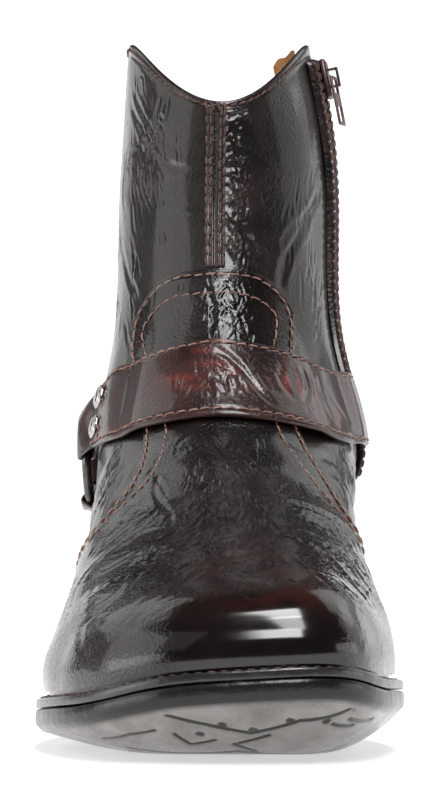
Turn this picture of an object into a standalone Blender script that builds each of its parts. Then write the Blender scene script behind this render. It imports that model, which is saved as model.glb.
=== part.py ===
"""Cowboy ankle boot, right foot: harness strap with ring, inner side zip, squared toe, stacked heel.

The boot stands on the floor, toe towards -Y, inner side towards +X, up +Z.
The origin is the middle of the heel's ground face. All lengths are metres, all turns are degrees.
"""

import math

import bmesh
import bpy
import numpy as np
from mathutils import Matrix, Vector

FOOT_LENGTH = 0.304
BALL_WIDTH = 0.110
SHAFT_DEPTH = 0.118
SHAFT_WIDTH = 0.080
UPPER_HEIGHT = 0.2063
WALL = 0.0020
GAP = 0.0003

WELT_THICK = 0.0027
WELT_REACH = 0.0042
WELT_LAP = 0.0060
SOLE_EDGE = 0.0068
SOLE_BELLY = 0.0088
SOLE_BEVEL = 0.0022
SOLE_PRESS = 0.0008
FLAT_SHARE = 0.45
TOE_SPRING = 0.0085
HEEL_RISE = 0.0236
FOREFOOT_ROLL = 2.9
HEEL_LENGTH = 0.070
HEEL_TAPER = 0.0030
TOP_PIECE_THICK = 0.0060
INSOLE_THICK = 0.0022

OVERLAY = 0.0012
STRAP_THICK = 0.0020
SEAM_WIDTH = 0.0068
FACING_WIDTH = 0.0075
ZIP_TAPE_WIDTH = 0.0180
ZIP_TAPE_THICK = 0.0006
ZIP_TEETH_WIDTH = 0.0046
ZIP_TEETH_THICK = 0.0014
SLIDER_RISE = 0.955
SLIDER_SIZE = (0.0080, 0.0135, 0.0022)
BRIDGE_SIZE = (0.0016, 0.0070, 0.0035)
BRIDGE_BAR = 0.0009
PULL_WIDTH = 0.0066
PULL_LENGTH = 0.0170
PULL_THICK = 0.0009
PULL_YAW = 9.0
PULL_BAR = 0.0011
PULL_EYE = 0.0050
PULL_WINDOW = 0.0057
RING_RADIUS = 0.0155
RING_WIRE = 0.0016
RING_TURN = 87.0
RING_RISE = 0.357
RING_LIFT = 0.0042
FOLD_THICK = 0.0014
RIVET_RADIUS = 0.0040
RIVET_HEIGHT = 0.0014

# Height of the upper's lower edge: share of the toe spring and of the heel's rise, along the foot.
FEATHER_HEIGHT = [
    {"along": -0.900, "toe": 1.25, "heel": 0.00},
    {"along": -0.868, "toe": 1.00, "heel": 0.00},
    {"along": -0.838, "toe": 0.72, "heel": 0.00},
    {"along": -0.740, "toe": 0.31, "heel": 0.00},
    {"along": -0.625, "toe": 0.08, "heel": 0.00},
    {"along": -0.526, "toe": 0.00, "heel": 0.00},
    {"along": -0.395, "toe": 0.00, "heel": 0.14},
    {"along": -0.296, "toe": 0.00, "heel": 0.36},
    {"along": -0.197, "toe": 0.00, "heel": 0.63},
    {"along": -0.105, "toe": 0.00, "heel": 0.83},
    {"along": 0.110, "toe": 0.00, "heel": 1.00},
    {"along": 0.150, "toe": 0.00, "heel": 1.02},
]

# The last's outline from below, outer side first: shares of foot length and ball width.
# turn says which way round the leg that place of the outline faces.
FEATHER = [
    {"name": "heel_back", "along": 0.112, "across": 0.000, "turn": 0.0},
    {"name": "heel_round_outer", "along": 0.084, "across": -0.205, "turn": None},
    {"name": "heel_outer", "along": 0.005, "across": -0.300, "turn": 38.0},
    {"name": "waist_outer", "along": -0.235, "across": -0.325, "turn": 88.0},
    {"name": "ball_outer", "along": -0.545, "across": -0.462, "turn": 134.0},
    {"name": "vamp_outer", "along": -0.690, "across": -0.430, "turn": None},
    {"name": "toe_side_outer", "along": -0.808, "across": -0.290, "turn": None},
    {"name": "toe_corner_outer", "along": -0.857, "across": -0.125, "turn": 166.0},
    {"name": "toe_middle", "along": -0.868, "across": 0.085, "turn": 180.0},
    {"name": "toe_corner_inner", "along": -0.857, "across": 0.280, "turn": 194.0},
    {"name": "toe_side_inner", "along": -0.805, "across": 0.370, "turn": None},
    {"name": "vamp_inner", "along": -0.715, "across": 0.424, "turn": None},
    {"name": "ball_inner", "along": -0.610, "across": 0.444, "turn": 226.0},
    {"name": "waist_inner", "along": -0.270, "across": 0.262, "turn": 272.0},
    {"name": "heel_inner", "along": 0.005, "across": 0.295, "turn": 322.0},
    {"name": "heel_round_inner", "along": 0.084, "across": 0.205, "turn": None},
]

# Loops up the boot. back is a share of the foot length. depth and the half widths outer and inner are
# shares of the foot's length and ball width, or of the shaft's depth and width where leg is 1.
# front, side and rear are heights over the lower edge or, where sole is 0, over the upper's mean level.
# shape is 1 where the loop has the last's outline and 0 where it is a plain oval.
LOOPS = [
    {"name": "feather", "rise": 0.00, "leg": 0.0, "back": 0.112, "depth": 0.980, "outer": 0.462, "inner": 0.444,
     "front": 0.000, "side": 0.000, "rear": 0.000, "sole": 1.0, "shape": 1.00},
    {"name": "wall", "rise": 0.06, "leg": 0.0, "back": 0.119, "depth": 0.987, "outer": 0.466, "inner": 0.446,
     "front": 0.041, "side": 0.057, "rear": 0.069, "sole": 1.0, "shape": 1.00},
    {"name": "shoulder", "rise": 0.13, "leg": 0.0, "back": 0.124, "depth": 0.962, "outer": 0.436, "inner": 0.422,
     "front": 0.089, "side": 0.143, "rear": 0.146, "sole": 1.0, "shape": 0.95},
    {"name": "vamp", "rise": 0.24, "leg": 0.0, "back": 0.122, "depth": 0.829, "outer": 0.440, "inner": 0.427,
     "front": 0.139, "side": 0.212, "rear": 0.243, "sole": 0.6, "shape": 0.62},
    {"name": "instep", "rise": 0.37, "leg": 0.5, "back": 0.112, "depth": 0.872, "outer": 0.472, "inner": 0.522,
     "front": 0.255, "side": 0.299, "rear": 0.339, "sole": 0.0, "shape": 0.22},
    {"name": "throat", "rise": 0.49, "leg": 1.0, "back": 0.100, "depth": 1.198, "outer": 0.512, "inner": 0.548,
     "front": 0.402, "side": 0.405, "rear": 0.453, "sole": 0.0, "shape": 0.00},
    {"name": "ankle", "rise": 0.61, "leg": 1.0, "back": 0.094, "depth": 1.056, "outer": 0.470, "inner": 0.484,
     "front": 0.537, "side": 0.524, "rear": 0.558, "sole": 0.0, "shape": 0.00},
    {"name": "shaft", "rise": 0.75, "leg": 1.0, "back": 0.096, "depth": 1.002, "outer": 0.457, "inner": 0.477,
     "front": 0.682, "side": 0.684, "rear": 0.684, "sole": 0.0, "shape": 0.00},
    {"name": "top_band", "rise": 0.88, "leg": 1.0, "back": 0.100, "depth": 0.994, "outer": 0.435, "inner": 0.461,
     "front": 0.790, "side": 0.842, "rear": 0.785, "sole": 0.0, "shape": 0.00},
    {"name": "collar", "rise": 1.00, "leg": 1.0, "back": 0.103, "depth": 0.994, "outer": 0.413, "inner": 0.388,
     "front": 0.866, "side": 1.000, "rear": 0.847, "sole": 0.0, "shape": 0.00},
]

# Lines up the boot that the seams and the zip follow.
FRONT_SEAM_LINE = [
    {"rise": 0.60, "turn": 176.4},
    {"rise": 1.00, "turn": 176.8},
]
BACK_SEAM_LINE = [
    {"rise": 0.00, "turn": 0.0},
    {"rise": 1.00, "turn": 0.0},
]
ZIP_LINE = [
    {"rise": 0.33, "turn": 270.0},
    {"rise": 0.40, "turn": 267.0},
    {"rise": 0.50, "turn": 265.0},
    {"rise": 0.75, "turn": 262.0},
    {"rise": 1.00, "turn": 256.0},
]

# The vamp's rear edges, and the harness straps' edges, at places round and up the boot.
VAMP_EDGE = [
    {"rise": 0.020, "outer": 99.0, "inner": 262.0},
    {"rise": 0.070, "outer": 103.0, "inner": 257.0},
    {"rise": 0.130, "outer": 110.0, "inner": 249.0},
    {"rise": 0.190, "outer": 118.5, "inner": 239.0},
    {"rise": 0.250, "outer": 129.0, "inner": 229.0},
    {"rise": 0.300, "outer": 141.0, "inner": 220.0},
    {"rise": 0.350, "outer": 148.5, "inner": 214.0},
    {"rise": 0.420, "outer": 147.5, "inner": 209.0},
    {"rise": 0.490, "outer": 139.0, "inner": 211.0},
    {"rise": 0.550, "outer": 130.0, "inner": 215.0},
    {"rise": 0.600, "outer": 131.0, "inner": 217.0},
    {"rise": 0.680, "outer": 134.0, "inner": 216.0},
]
VAMP_TOP = 0.662
VAMP_TOP_DROP = 0.060

INSTEP_STRAP = [
    {"turn": 107.0, "low": 0.392, "high": 0.494},
    {"turn": 116.0, "low": 0.402, "high": 0.523},
    {"turn": 130.0, "low": 0.412, "high": 0.533},
    {"turn": 150.0, "low": 0.426, "high": 0.540},
    {"turn": 178.0, "low": 0.440, "high": 0.550},
    {"turn": 206.0, "low": 0.428, "high": 0.539},
    {"turn": 230.0, "low": 0.410, "high": 0.528},
    {"turn": 251.5, "low": 0.396, "high": 0.520},
]
HEEL_STRAP = [
    {"turn": -78.0, "low": 0.395, "high": 0.500},
    {"turn": -50.0, "low": 0.350, "high": 0.455},
    {"turn": -20.0, "low": 0.328, "high": 0.430},
    {"turn": 15.0, "low": 0.320, "high": 0.425},
    {"turn": 45.0, "low": 0.314, "high": 0.422},
    {"turn": 70.0, "low": 0.303, "high": 0.408},
]
DOWN_STRAP_LINE = [
    {"rise": 0.00, "turn": 76.0},
    {"rise": 0.24, "turn": 81.0},
]
DOWN_STRAP_WIDTH = 0.0180
DOWN_STRAP_TOP = 0.222

# Where each strap folds round the ring: the way it leaves, seen on the ring, and half its spread.
FOLDS = [
    {"name": "instep_strap_fold", "way": 42.0, "spread": 38.0},
    {"name": "heel_strap_fold", "way": 171.0, "spread": 36.0},
    {"name": "down_strap_fold", "way": 270.0, "spread": 32.0},
]

UPPER_PLACES = 46
UPPER_RISES = 19
STRIP_ROWS = 14
STRIP_FOOT = 0.02
STRIP_TOP = 0.992
ZIP_TOP = 0.985
VAMP_GRID = (19, 14)
STRAP_PLACES = 23
CUT_ROOM = 0.0030

RIVETS = (("rivet_upper", 112.5, 0.487), ("rivet_lower", 112.0, 0.432))

BOOT = bpy.data.collections.new("cowboy_ankle_boot")
CUTTERS = bpy.data.collections.new("cutting_shapes")


def clear_scene():
    """Removes whatever the scene holds."""
    for old in list(bpy.data.objects):
        bpy.data.objects.remove(old)
    bpy.context.scene.collection.children.link(BOOT)
    bpy.context.scene.collection.children.link(CUTTERS)


def column(table, name):
    """One column of a table as an array."""
    return np.array([row[name] for row in table], float)


def smooth_step(value):
    """0 below 0, 1 above 1 and a soft S between."""
    value = np.clip(value, 0.0, 1.0)
    return value * value * (3.0 - 2.0 * value)


def bend_of(knots, values, round_trip):
    """Second derivatives of the cubic spline through the values, closed when round_trip is set."""
    steps = np.diff(knots)
    slopes = np.diff(values, axis=0) / steps[:, None]
    count = len(knots) - 1 if round_trip else len(knots)
    matrix = np.zeros((count, count))
    right = np.zeros((count, values.shape[1]))
    for i in range(count):
        if not round_trip and i in (0, count - 1):
            matrix[i, i] = 1.0
            continue
        before = steps[i - 1]
        matrix[i, (i - 1) % count] += before
        matrix[i, i] += 2.0 * (before + steps[i])
        matrix[i, (i + 1) % count] += steps[i]
        right[i] = 6.0 * (slopes[i] - slopes[i - 1])
    bends = np.linalg.solve(matrix, right)
    return np.concatenate([bends, bends[:1]]) if round_trip else bends


class Spline:
    """A smooth curve through rows of values, one row a knot."""

    def __init__(self, knots, values, round_trip=False):
        self.knots = np.asarray(knots, float)
        self.values = np.asarray(values, float).reshape(len(knots), -1)
        self.bends = bend_of(self.knots, self.values, round_trip)

    def __call__(self, place):
        place = np.asarray(place, float)
        i = np.clip(np.searchsorted(self.knots, place, side="right") - 1, 0, len(self.knots) - 2)
        step = self.knots[i + 1] - self.knots[i]
        left = ((self.knots[i + 1] - place) / step)[..., None]
        right = 1.0 - left
        sag = (left**3 - left) * self.bends[i] + (right**3 - right) * self.bends[i + 1]
        return left * self.values[i] + right * self.values[i + 1] + sag * (step * step)[..., None] / 6.0


def outline_spline():
    """The last's outline as a closed curve, and its knots."""
    points = np.stack([column(FEATHER, "across") * BALL_WIDTH, column(FEATHER, "along") * FOOT_LENGTH], axis=1)
    points = np.concatenate([points, points[:1]])
    chords = np.linalg.norm(np.diff(points, axis=0), axis=1) ** 0.7
    knots = np.concatenate([[0.0], np.cumsum(chords)]) / chords.sum()
    return Spline(knots, points, True), knots


def turn_spline(knots):
    """How far a place of the outline has turned round the leg, less its share of a full turn."""
    marked = [(knots[i], row["turn"]) for i, row in enumerate(FEATHER) if row["turn"] is not None]
    marked.append((1.0, 360.0))
    return Spline([place for place, _ in marked], [turn - 360.0 * place for place, turn in marked], True)


def loop_spline():
    """The loops' sizes in metres, as a smooth function of the rise."""
    leg = column(LOOPS, "leg")
    lengths = (1.0 - leg) * FOOT_LENGTH + leg * SHAFT_DEPTH
    widths = (1.0 - leg) * BALL_WIDTH + leg * SHAFT_WIDTH
    sizes = [column(LOOPS, "back") * FOOT_LENGTH, column(LOOPS, "depth") * lengths]
    sizes += [column(LOOPS, name) * widths for name in ("outer", "inner")]
    sizes += [column(LOOPS, name) * UPPER_HEIGHT for name in ("front", "side", "rear")]
    sizes += [column(LOOPS, name) for name in ("sole", "shape")]
    return Spline(column(LOOPS, "rise"), np.stack(sizes, axis=1))


OUTLINE, OUTLINE_KNOTS = outline_spline()
TURN = turn_spline(OUTLINE_KNOTS)
LOOP = loop_spline()
TOE_SHARE = Spline(column(FEATHER_HEIGHT, "along") * FOOT_LENGTH, column(FEATHER_HEIGHT, "toe"))
HEEL_SHARE = Spline(column(FEATHER_HEIGHT, "along") * FOOT_LENGTH, column(FEATHER_HEIGHT, "heel"))
SOLE_STACK = WELT_THICK + SOLE_EDGE + SOLE_BELLY - SOLE_PRESS
MEAN_LEVEL = SOLE_STACK + 0.5 * HEEL_RISE
FORE_END = FOOT_LENGTH * FEATHER[8]["along"]
REAR_END = FOOT_LENGTH * FEATHER[0]["along"]
OUTER_REACH = BALL_WIDTH * -column(FEATHER, "across").min()
INNER_REACH = BALL_WIDTH * column(FEATHER, "across").max()
DENSE = np.linspace(0.0, 1.0, 721)
DENSE_TURN = TURN(DENSE)[..., 0] + 360.0 * DENSE


def place_at(turn):
    """The place along the outline that faces this way."""
    return np.interp(np.asarray(turn) % 360.0, DENSE_TURN, DENSE)


def feather_height(x, y):
    """Height of the upper's lower edge, with the forefoot's roll towards the outer side."""
    fade = smooth_step((-0.20 * FOOT_LENGTH - y) / (0.33 * FOOT_LENGTH))
    level = SOLE_STACK + TOE_SPRING * TOE_SHARE(y)[..., 0] + HEEL_RISE * HEEL_SHARE(y)[..., 0]
    return level + x * math.tan(math.radians(FOREFOOT_ROLL)) * fade


def boot_surface(place, rise):
    """The upper's outer face: a point for each place round the outline and each rise."""
    place, rise = np.broadcast_arrays(np.asarray(place, float) % 1.0, np.asarray(rise, float))
    x, y = np.moveaxis(OUTLINE(place), -1, 0)
    turn = np.radians(TURN(place)[..., 0] + 360.0 * place)
    back, depth, outer, inner, front, side, rear, sole, shape = np.moveaxis(LOOP(rise), -1, 0)
    across = np.where(x < 0.0, x / OUTER_REACH, x / INNER_REACH)
    along = (2.0 * y - REAR_END - FORE_END) / (REAR_END - FORE_END)
    across = shape * across - (1.0 - shape) * np.sin(turn)
    along = shape * along + (1.0 - shape) * np.cos(turn)
    inner_share = 0.5 + 0.5 * np.tanh(4.0 * across)
    level = sole * feather_height(x, y) + (1.0 - sole) * MEAN_LEVEL
    level = level + (front + rear + 2.0 * side) / 4.0
    level = level + np.cos(turn) * (rear - front) / 2.0 + np.cos(2.0 * turn) * (front + rear - 2.0 * side) / 4.0
    width = outer + (inner - outer) * inner_share
    return np.stack([across * width, back - depth * (1.0 - along) / 2.0, level], axis=-1)


def boot_normal(place, rise):
    """The unit normal of that face, pointing out."""
    step = 1e-4
    round_way = boot_surface(place + step, rise) - boot_surface(place - step, rise)
    up_way = boot_surface(place, rise + step) - boot_surface(place, rise - step)
    normal = np.cross(round_way, up_way)
    return normal / np.linalg.norm(normal, axis=-1, keepdims=True)


def lifted(place, rise, lift):
    """Points at a height over the upper's outer face."""
    lift = np.broadcast_to(np.asarray(lift, float), np.broadcast(place, rise).shape)
    return boot_surface(place, rise) + boot_normal(place, rise) * lift[..., None]


def degrees_for(width, turn, rise):
    """The turn that spans a width at one place."""
    ends = boot_surface(place_at(np.array([turn - 0.5, turn + 0.5])), rise)
    return width / np.linalg.norm(ends[1] - ends[0])


def rise_for(length, turn, rise):
    """The rise that spans a length at one place."""
    ends = boot_surface(place_at(turn), np.array([rise - 0.005, rise + 0.005]))
    return 0.01 * length / np.linalg.norm(ends[1] - ends[0])


def make_material(name, colour, roughness, metallic=0.0):
    """A plain material for one piece."""
    material = bpy.data.materials.new(name)
    material.use_nodes = True
    shader = material.node_tree.nodes["Principled BSDF"]
    shader.inputs["Base Color"].default_value = (*colour, 1.0)
    shader.inputs["Roughness"].default_value = roughness
    shader.inputs["Metallic"].default_value = metallic
    return material


LEATHER = (0.030, 0.022, 0.022)
BURGUNDY = (0.090, 0.024, 0.020)
DARK_RUBBER = (0.030, 0.030, 0.032)
NICKEL = (0.42, 0.42, 0.44)
BRONZE = (0.075, 0.055, 0.060)


def add_object(name, mesh, colour, roughness, metallic=0.0):
    """Puts a mesh in the boot's collection under its own name and material."""
    piece = bpy.data.objects.new(name, mesh)
    mesh.materials.append(make_material(name, colour, roughness, metallic))
    mesh.shade_smooth()
    mesh.set_sharp_from_angle(angle=math.radians(40.0))
    BOOT.objects.link(piece)
    return piece


def grid_mesh(name, points, round_trip=False):
    """An open sheet through a grid of points, closed on itself in the first way when round_trip is set."""
    rows, columns = points.shape[:2]
    index = np.arange(rows * columns).reshape(rows, columns)
    if round_trip:
        index = np.concatenate([index, index[:1]])
    corners = (index[:-1, :-1], index[1:, :-1], index[1:, 1:], index[:-1, 1:])
    near, across, far, up = (corner.ravel() for corner in corners)
    faces = np.concatenate([np.stack([near, across, far], axis=1), np.stack([near, far, up], axis=1)])
    mesh = bpy.data.meshes.new(name)
    mesh.from_pydata(points.reshape(-1, 3).tolist(), [], faces.tolist())
    return mesh


def thicken(piece, thick, outward=True):
    """Gives a sheet its thickness, on its outer or its inner side."""
    wall = piece.modifiers.new("thickness", "SOLIDIFY")
    wall.thickness = thick
    wall.offset = 1.0 if outward else -1.0


def upper_grid():
    """The places and rises of the upper's own mesh, which every piece on it shares."""
    return np.arange(UPPER_PLACES)[:, None] / UPPER_PLACES, np.linspace(0.0, 1.0, UPPER_RISES)[None, :]


def overlay(name, place, rise, lift, thick, colour, roughness=0.4):
    """A leather piece on the upper, cut from a shell that is lifted off it. The grid is the piece's outline."""
    shell = grid_mesh(name, lifted(*upper_grid(), lift), round_trip=True)
    piece = add_object(name, shell, colour, roughness)
    thicken(piece, thick)
    cutter = bpy.data.objects.new(name + "_outline", grid_mesh(name + "_outline", lifted(place, rise, lift - CUT_ROOM)))
    thicken(cutter, thick + 2.0 * CUT_ROOM)
    cutter.hide_render = True
    cutter.display_type = "WIRE"
    CUTTERS.objects.link(cutter)
    cut = piece.modifiers.new("outline", "BOOLEAN")
    cut.operation = "INTERSECT"
    cut.solver = "EXACT"
    cut.object = cutter
    return piece


def loops_mesh(name, loops, ladder=True):
    """A solid through closed loops. Its ends are filled rung by rung, or it closes on itself."""
    loops = np.asarray(loops)
    count, length = loops.shape[:2]
    index = np.arange(count * length).reshape(count, length)
    index = np.concatenate([index, index[:, :1]], axis=1)
    if not ladder:
        index = np.concatenate([index, index[:1]])
    corners = (index[:-1, :-1], index[:-1, 1:], index[1:, 1:], index[1:, :-1])
    faces = np.stack([corner.ravel() for corner in corners], axis=1).tolist()
    if ladder:
        half = length // 2
        for loop in (index[0], index[-1]):
            faces.append([loop[0], loop[1], loop[length - 1]])
            faces += [[loop[i], loop[i + 1], loop[length - i - 1], loop[length - i]] for i in range(1, half - 1)]
            faces.append([loop[half - 1], loop[half], loop[half + 1]])
    mesh = bpy.data.meshes.new(name)
    mesh.from_pydata(loops.reshape(-1, 3).tolist(), [], [[int(corner) for corner in face] for face in faces])
    solid = bmesh.new()
    solid.from_mesh(mesh)
    bmesh.ops.recalc_face_normals(solid, faces=solid.faces)
    solid.to_mesh(mesh)
    solid.free()
    return mesh


def sole_outline(margin, count):
    """The last's outline moved out by a margin, as plan points from the heel's back round the outer side."""
    place = np.arange(count) / count
    step = 1e-4
    way = OUTLINE((place + step) % 1.0) - OUTLINE((place - step) % 1.0)
    normal = np.stack([way[:, 1], -way[:, 0]], axis=1)
    normal /= np.linalg.norm(normal, axis=1, keepdims=True)
    return OUTLINE(place) + margin * normal


def shrunk(plan, share):
    """A plan outline drawn in towards the foot's middle line."""
    middle_y = np.clip(plan[:, 1], 0.80 * FORE_END, 0.10 * REAR_END)
    middle_x = 0.085 * BALL_WIDTH * middle_y / FORE_END
    middle = np.stack([middle_x, middle_y], axis=1)
    return middle + share * (plan - middle)


def with_height(plan, height):
    """Plan points with their heights."""
    return np.concatenate([plan, np.broadcast_to(height, len(plan))[:, None]], axis=1)


def under_edge(plan):
    """Height of the outsole's lower edge over these plan points."""
    return feather_height(plan[:, 0], plan[:, 1]) - WELT_THICK - SOLE_EDGE - 2.0 * GAP


def under_middle(plan):
    """Height of the outsole's underside along its middle, flat under the ball of the foot."""
    arch = smooth_step((-0.13 * FOOT_LENGTH - plan[:, 1]) / (0.22 * FOOT_LENGTH))
    level = under_edge(np.stack([0.0 * plan[:, 0], plan[:, 1]], axis=1))
    return np.maximum(level - SOLE_BELLY * arch, 0.0)


def underside(plan, share):
    """Height of the outsole's underside at a share of the way out."""
    edge = np.clip((share - FLAT_SHARE) / (1.0 - FLAT_SHARE), 0.0, 1.0) ** 2
    return (1.0 - edge) * under_middle(plan) + edge * under_edge(plan)


SOLE_POINTS = 56


def make_sole():
    """Outsole, welt and insole, each through loops of the last's outline."""
    loops = []
    for margin, drop in ((-0.0004, 0.0), (0.0, 0.0008), (0.0, 0.0047)):
        plan = sole_outline(WELT_REACH + margin, SOLE_POINTS)
        loops.append(with_height(plan, feather_height(plan[:, 0], plan[:, 1]) - WELT_THICK - 2.0 * GAP - drop))
    rim = sole_outline(WELT_REACH - SOLE_BEVEL, SOLE_POINTS)
    for share in (1.0, 0.92, 0.82, 0.70, 0.57, FLAT_SHARE, 0.22):
        plan = shrunk(rim, share)
        loops.append(with_height(plan, underside(plan, share)))
    add_object("outsole", loops_mesh("outsole", loops), DARK_RUBBER, 0.5)

    loops = []
    for margin, drop in ((WELT_REACH, 0.0), (WELT_REACH, WELT_THICK), (-WELT_LAP, WELT_THICK), (-WELT_LAP, 0.0)):
        plan = sole_outline(margin, SOLE_POINTS)
        loops.append(with_height(plan, feather_height(plan[:, 0], plan[:, 1]) - GAP - drop))
    add_object("welt", loops_mesh("welt", loops, ladder=False), DARK_RUBBER, 0.45)

    loops = []
    for lift in (0.0, INSOLE_THICK):
        plan = sole_outline(-WALL - 4.0 * GAP, SOLE_POINTS)
        loops.append(with_height(plan, feather_height(plan[:, 0], plan[:, 1]) + lift))
    add_object("insole", loops_mesh("insole", loops), (0.35, 0.24, 0.15), 0.8)


HEEL_POINTS = 34


def heel_plan(inset):
    """The heel's D-shaped plan, from the middle of its front edge round the outer side."""
    breast = -0.5 * HEEL_LENGTH
    whole = sole_outline(WELT_REACH - SOLE_BEVEL - 0.0002, 1440)
    halves = []
    for half in (whole[:720], whole[:719:-1]):
        run = half[half[:, 1] >= breast]
        lengths = np.concatenate([[0.0], np.cumsum(np.linalg.norm(np.diff(run, axis=0), axis=1))])
        wanted = np.linspace(0.0, lengths[-1], HEEL_POINTS // 2 - 2)
        halves.append(np.stack([np.interp(wanted, lengths, run[:, k]) for k in (0, 1)], axis=1))
    outer, inner = halves
    front = np.array([[0.5 * (outer[-1, 0] + inner[-1, 0]), breast]])
    plan = np.concatenate([outer, 0.5 * (outer[-1:] + front), front, 0.5 * (inner[-1:] + front), inner[:0:-1]])
    middle = np.array([0.0, 0.5 * (plan[0, 1] + breast)])
    away = plan - middle
    return plan - inset * away / np.linalg.norm(away, axis=1, keepdims=True)


def make_heel():
    """The stacked heel and its top piece, which meets the floor."""
    loops = []
    for share in (0.0, 0.5, 1.0):
        plan = heel_plan(HEEL_TAPER * share)
        top = under_edge(plan) - GAP
        foot = TOP_PIECE_THICK + GAP
        loops.append(with_height(plan, top + (foot - top) * share))
    add_object("heel_block", loops_mesh("heel_block", loops), (0.035, 0.028, 0.026), 0.5)
    loops = []
    for lift in (TOP_PIECE_THICK, 0.0006, 0.0):
        plan = heel_plan(HEEL_TAPER + (0.0006 if lift == 0.0 else 0.0))
        loops.append(with_height(plan, lift))
    add_object("heel_top_piece", loops_mesh("heel_top_piece", loops), DARK_RUBBER, 0.6)


def make_upper():
    """The shaft and quarters: one hollow wall from the sole to the collar."""
    upper = add_object("upper", grid_mesh("upper", boot_surface(*upper_grid()), round_trip=True), LEATHER, 0.4)
    thicken(upper, WALL, outward=False)


def make_vamp():
    """The forefoot's leather, with its tongue-shaped top over the shaft's front."""
    edges = Spline(column(VAMP_EDGE, "rise"), np.stack([column(VAMP_EDGE, name) for name in ("outer", "inner")], axis=1))
    across = np.linspace(-1.0, 1.0, VAMP_GRID[0])[:, None]
    top = VAMP_TOP - VAMP_TOP_DROP * across**4
    rise = VAMP_EDGE[0]["rise"] + (top - VAMP_EDGE[0]["rise"]) * np.linspace(0.0, 1.0, VAMP_GRID[1])[None, :]
    outer, inner = np.moveaxis(edges(rise), -1, 0)
    turn = outer + (inner - outer) * (across + 1.0) / 2.0
    overlay("vamp", place_at(turn), rise, GAP, OVERLAY, LEATHER, 0.35)


def make_strip(name, line, shift, width, low, high, lift, thick, colour, roughness=0.4):
    """A strip of one width up the boot, at a shift round it from a line."""
    rise = np.linspace(low, high, STRIP_ROWS)
    middle = np.interp(rise, column(line, "rise"), column(line, "turn"))
    per_metre = np.array([degrees_for(1.0, turn, one) for turn, one in zip(middle, rise)])
    turns = middle + per_metre * (shift + width * np.array([[-0.5], [0.5]]))
    return overlay(name, place_at(turns), rise + 0.0 * turns, lift, thick, colour, roughness)


def make_seams():
    """The raised strips down the shaft's front and back."""
    low = VAMP_TOP + rise_for(2.0 * GAP, FRONT_SEAM_LINE[0]["turn"], VAMP_TOP)
    make_strip("front_seam_strip", FRONT_SEAM_LINE, 0.0, SEAM_WIDTH, low, STRIP_TOP, GAP, OVERLAY, LEATHER)
    make_strip("back_seam_strip", BACK_SEAM_LINE, 0.0, SEAM_WIDTH, STRIP_FOOT, STRIP_TOP, GAP, OVERLAY, LEATHER)


def make_zip():
    """The inner side's zip: tape, teeth and a leather facing on each side."""
    foot = ZIP_LINE[0]["rise"]
    make_strip("zip_tape", ZIP_LINE, 0.0, ZIP_TAPE_WIDTH, foot, ZIP_TOP, GAP, ZIP_TAPE_THICK, (0.02, 0.018, 0.02))
    level = 2.0 * GAP + ZIP_TAPE_THICK
    make_strip("zip_teeth", ZIP_LINE, 0.0, ZIP_TEETH_WIDTH, foot + 0.01, 0.975, level, ZIP_TEETH_THICK, BRONZE)
    away = 0.5 * ZIP_TEETH_WIDTH + 3.0 * GAP + 0.5 * FACING_WIDTH
    for name, side in (("zip_facing_front", -1.0), ("zip_facing_back", 1.0)):
        make_strip(name, ZIP_LINE, side * away, FACING_WIDTH, foot, ZIP_TOP, level, OVERLAY, LEATHER)


STRAP_LEVEL = OVERLAY + 2.0 * GAP


def strap_grid(table, count):
    """The outline of a strap that runs round the boot."""
    edges = Spline(column(table, "turn"), np.stack([column(table, "low"), column(table, "high")], axis=1))
    turn = np.linspace(table[0]["turn"], table[-1]["turn"], count)[:, None]
    low, high = np.moveaxis(edges(turn), -1, 0)
    rise = low + (high - low) * np.linspace(0.0, 1.0, 3)[None, :]
    return place_at(turn) + 0.0 * rise, rise


def make_straps():
    """The harness: instep strap, heel strap and down strap."""
    place, rise = strap_grid(INSTEP_STRAP, STRAP_PLACES)
    overlay("instep_strap", place, rise, STRAP_LEVEL, STRAP_THICK, BURGUNDY, 0.35)
    place, rise = strap_grid(HEEL_STRAP, STRAP_PLACES)
    overlay("heel_strap", place, rise, STRAP_LEVEL, STRAP_THICK, BURGUNDY, 0.35)
    make_strip(
        "down_strap", DOWN_STRAP_LINE, 0.0, DOWN_STRAP_WIDTH, STRIP_FOOT, DOWN_STRAP_TOP, GAP, STRAP_THICK, BURGUNDY
    )


def frame_at(turn, rise, lift):
    """A place on the boot: x level round it, y up it and z out of it."""
    out = Vector(boot_normal(place_at(turn), rise))
    side = Vector((0.0, 0.0, 1.0)).cross(out).normalized()
    up = out.cross(side)
    turned = Matrix((side, up, out)).transposed().to_4x4()
    return Matrix.Translation(Vector(lifted(place_at(turn), rise, lift))) @ turned


def make_ring():
    """The harness ring, flat on the outer side."""
    bpy.ops.mesh.primitive_torus_add(
        major_radius=RING_RADIUS, minor_radius=RING_WIRE, major_segments=28, minor_segments=8
    )
    ring = bpy.context.object
    mesh = ring.data
    bpy.data.objects.remove(ring)
    piece = add_object("harness_ring", mesh, NICKEL, 0.25, 1.0)
    piece.matrix_world = frame_at(RING_TURN, RING_RISE, RING_LIFT)
    for fold in FOLDS:
        make_fold(fold, piece.matrix_world)


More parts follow.
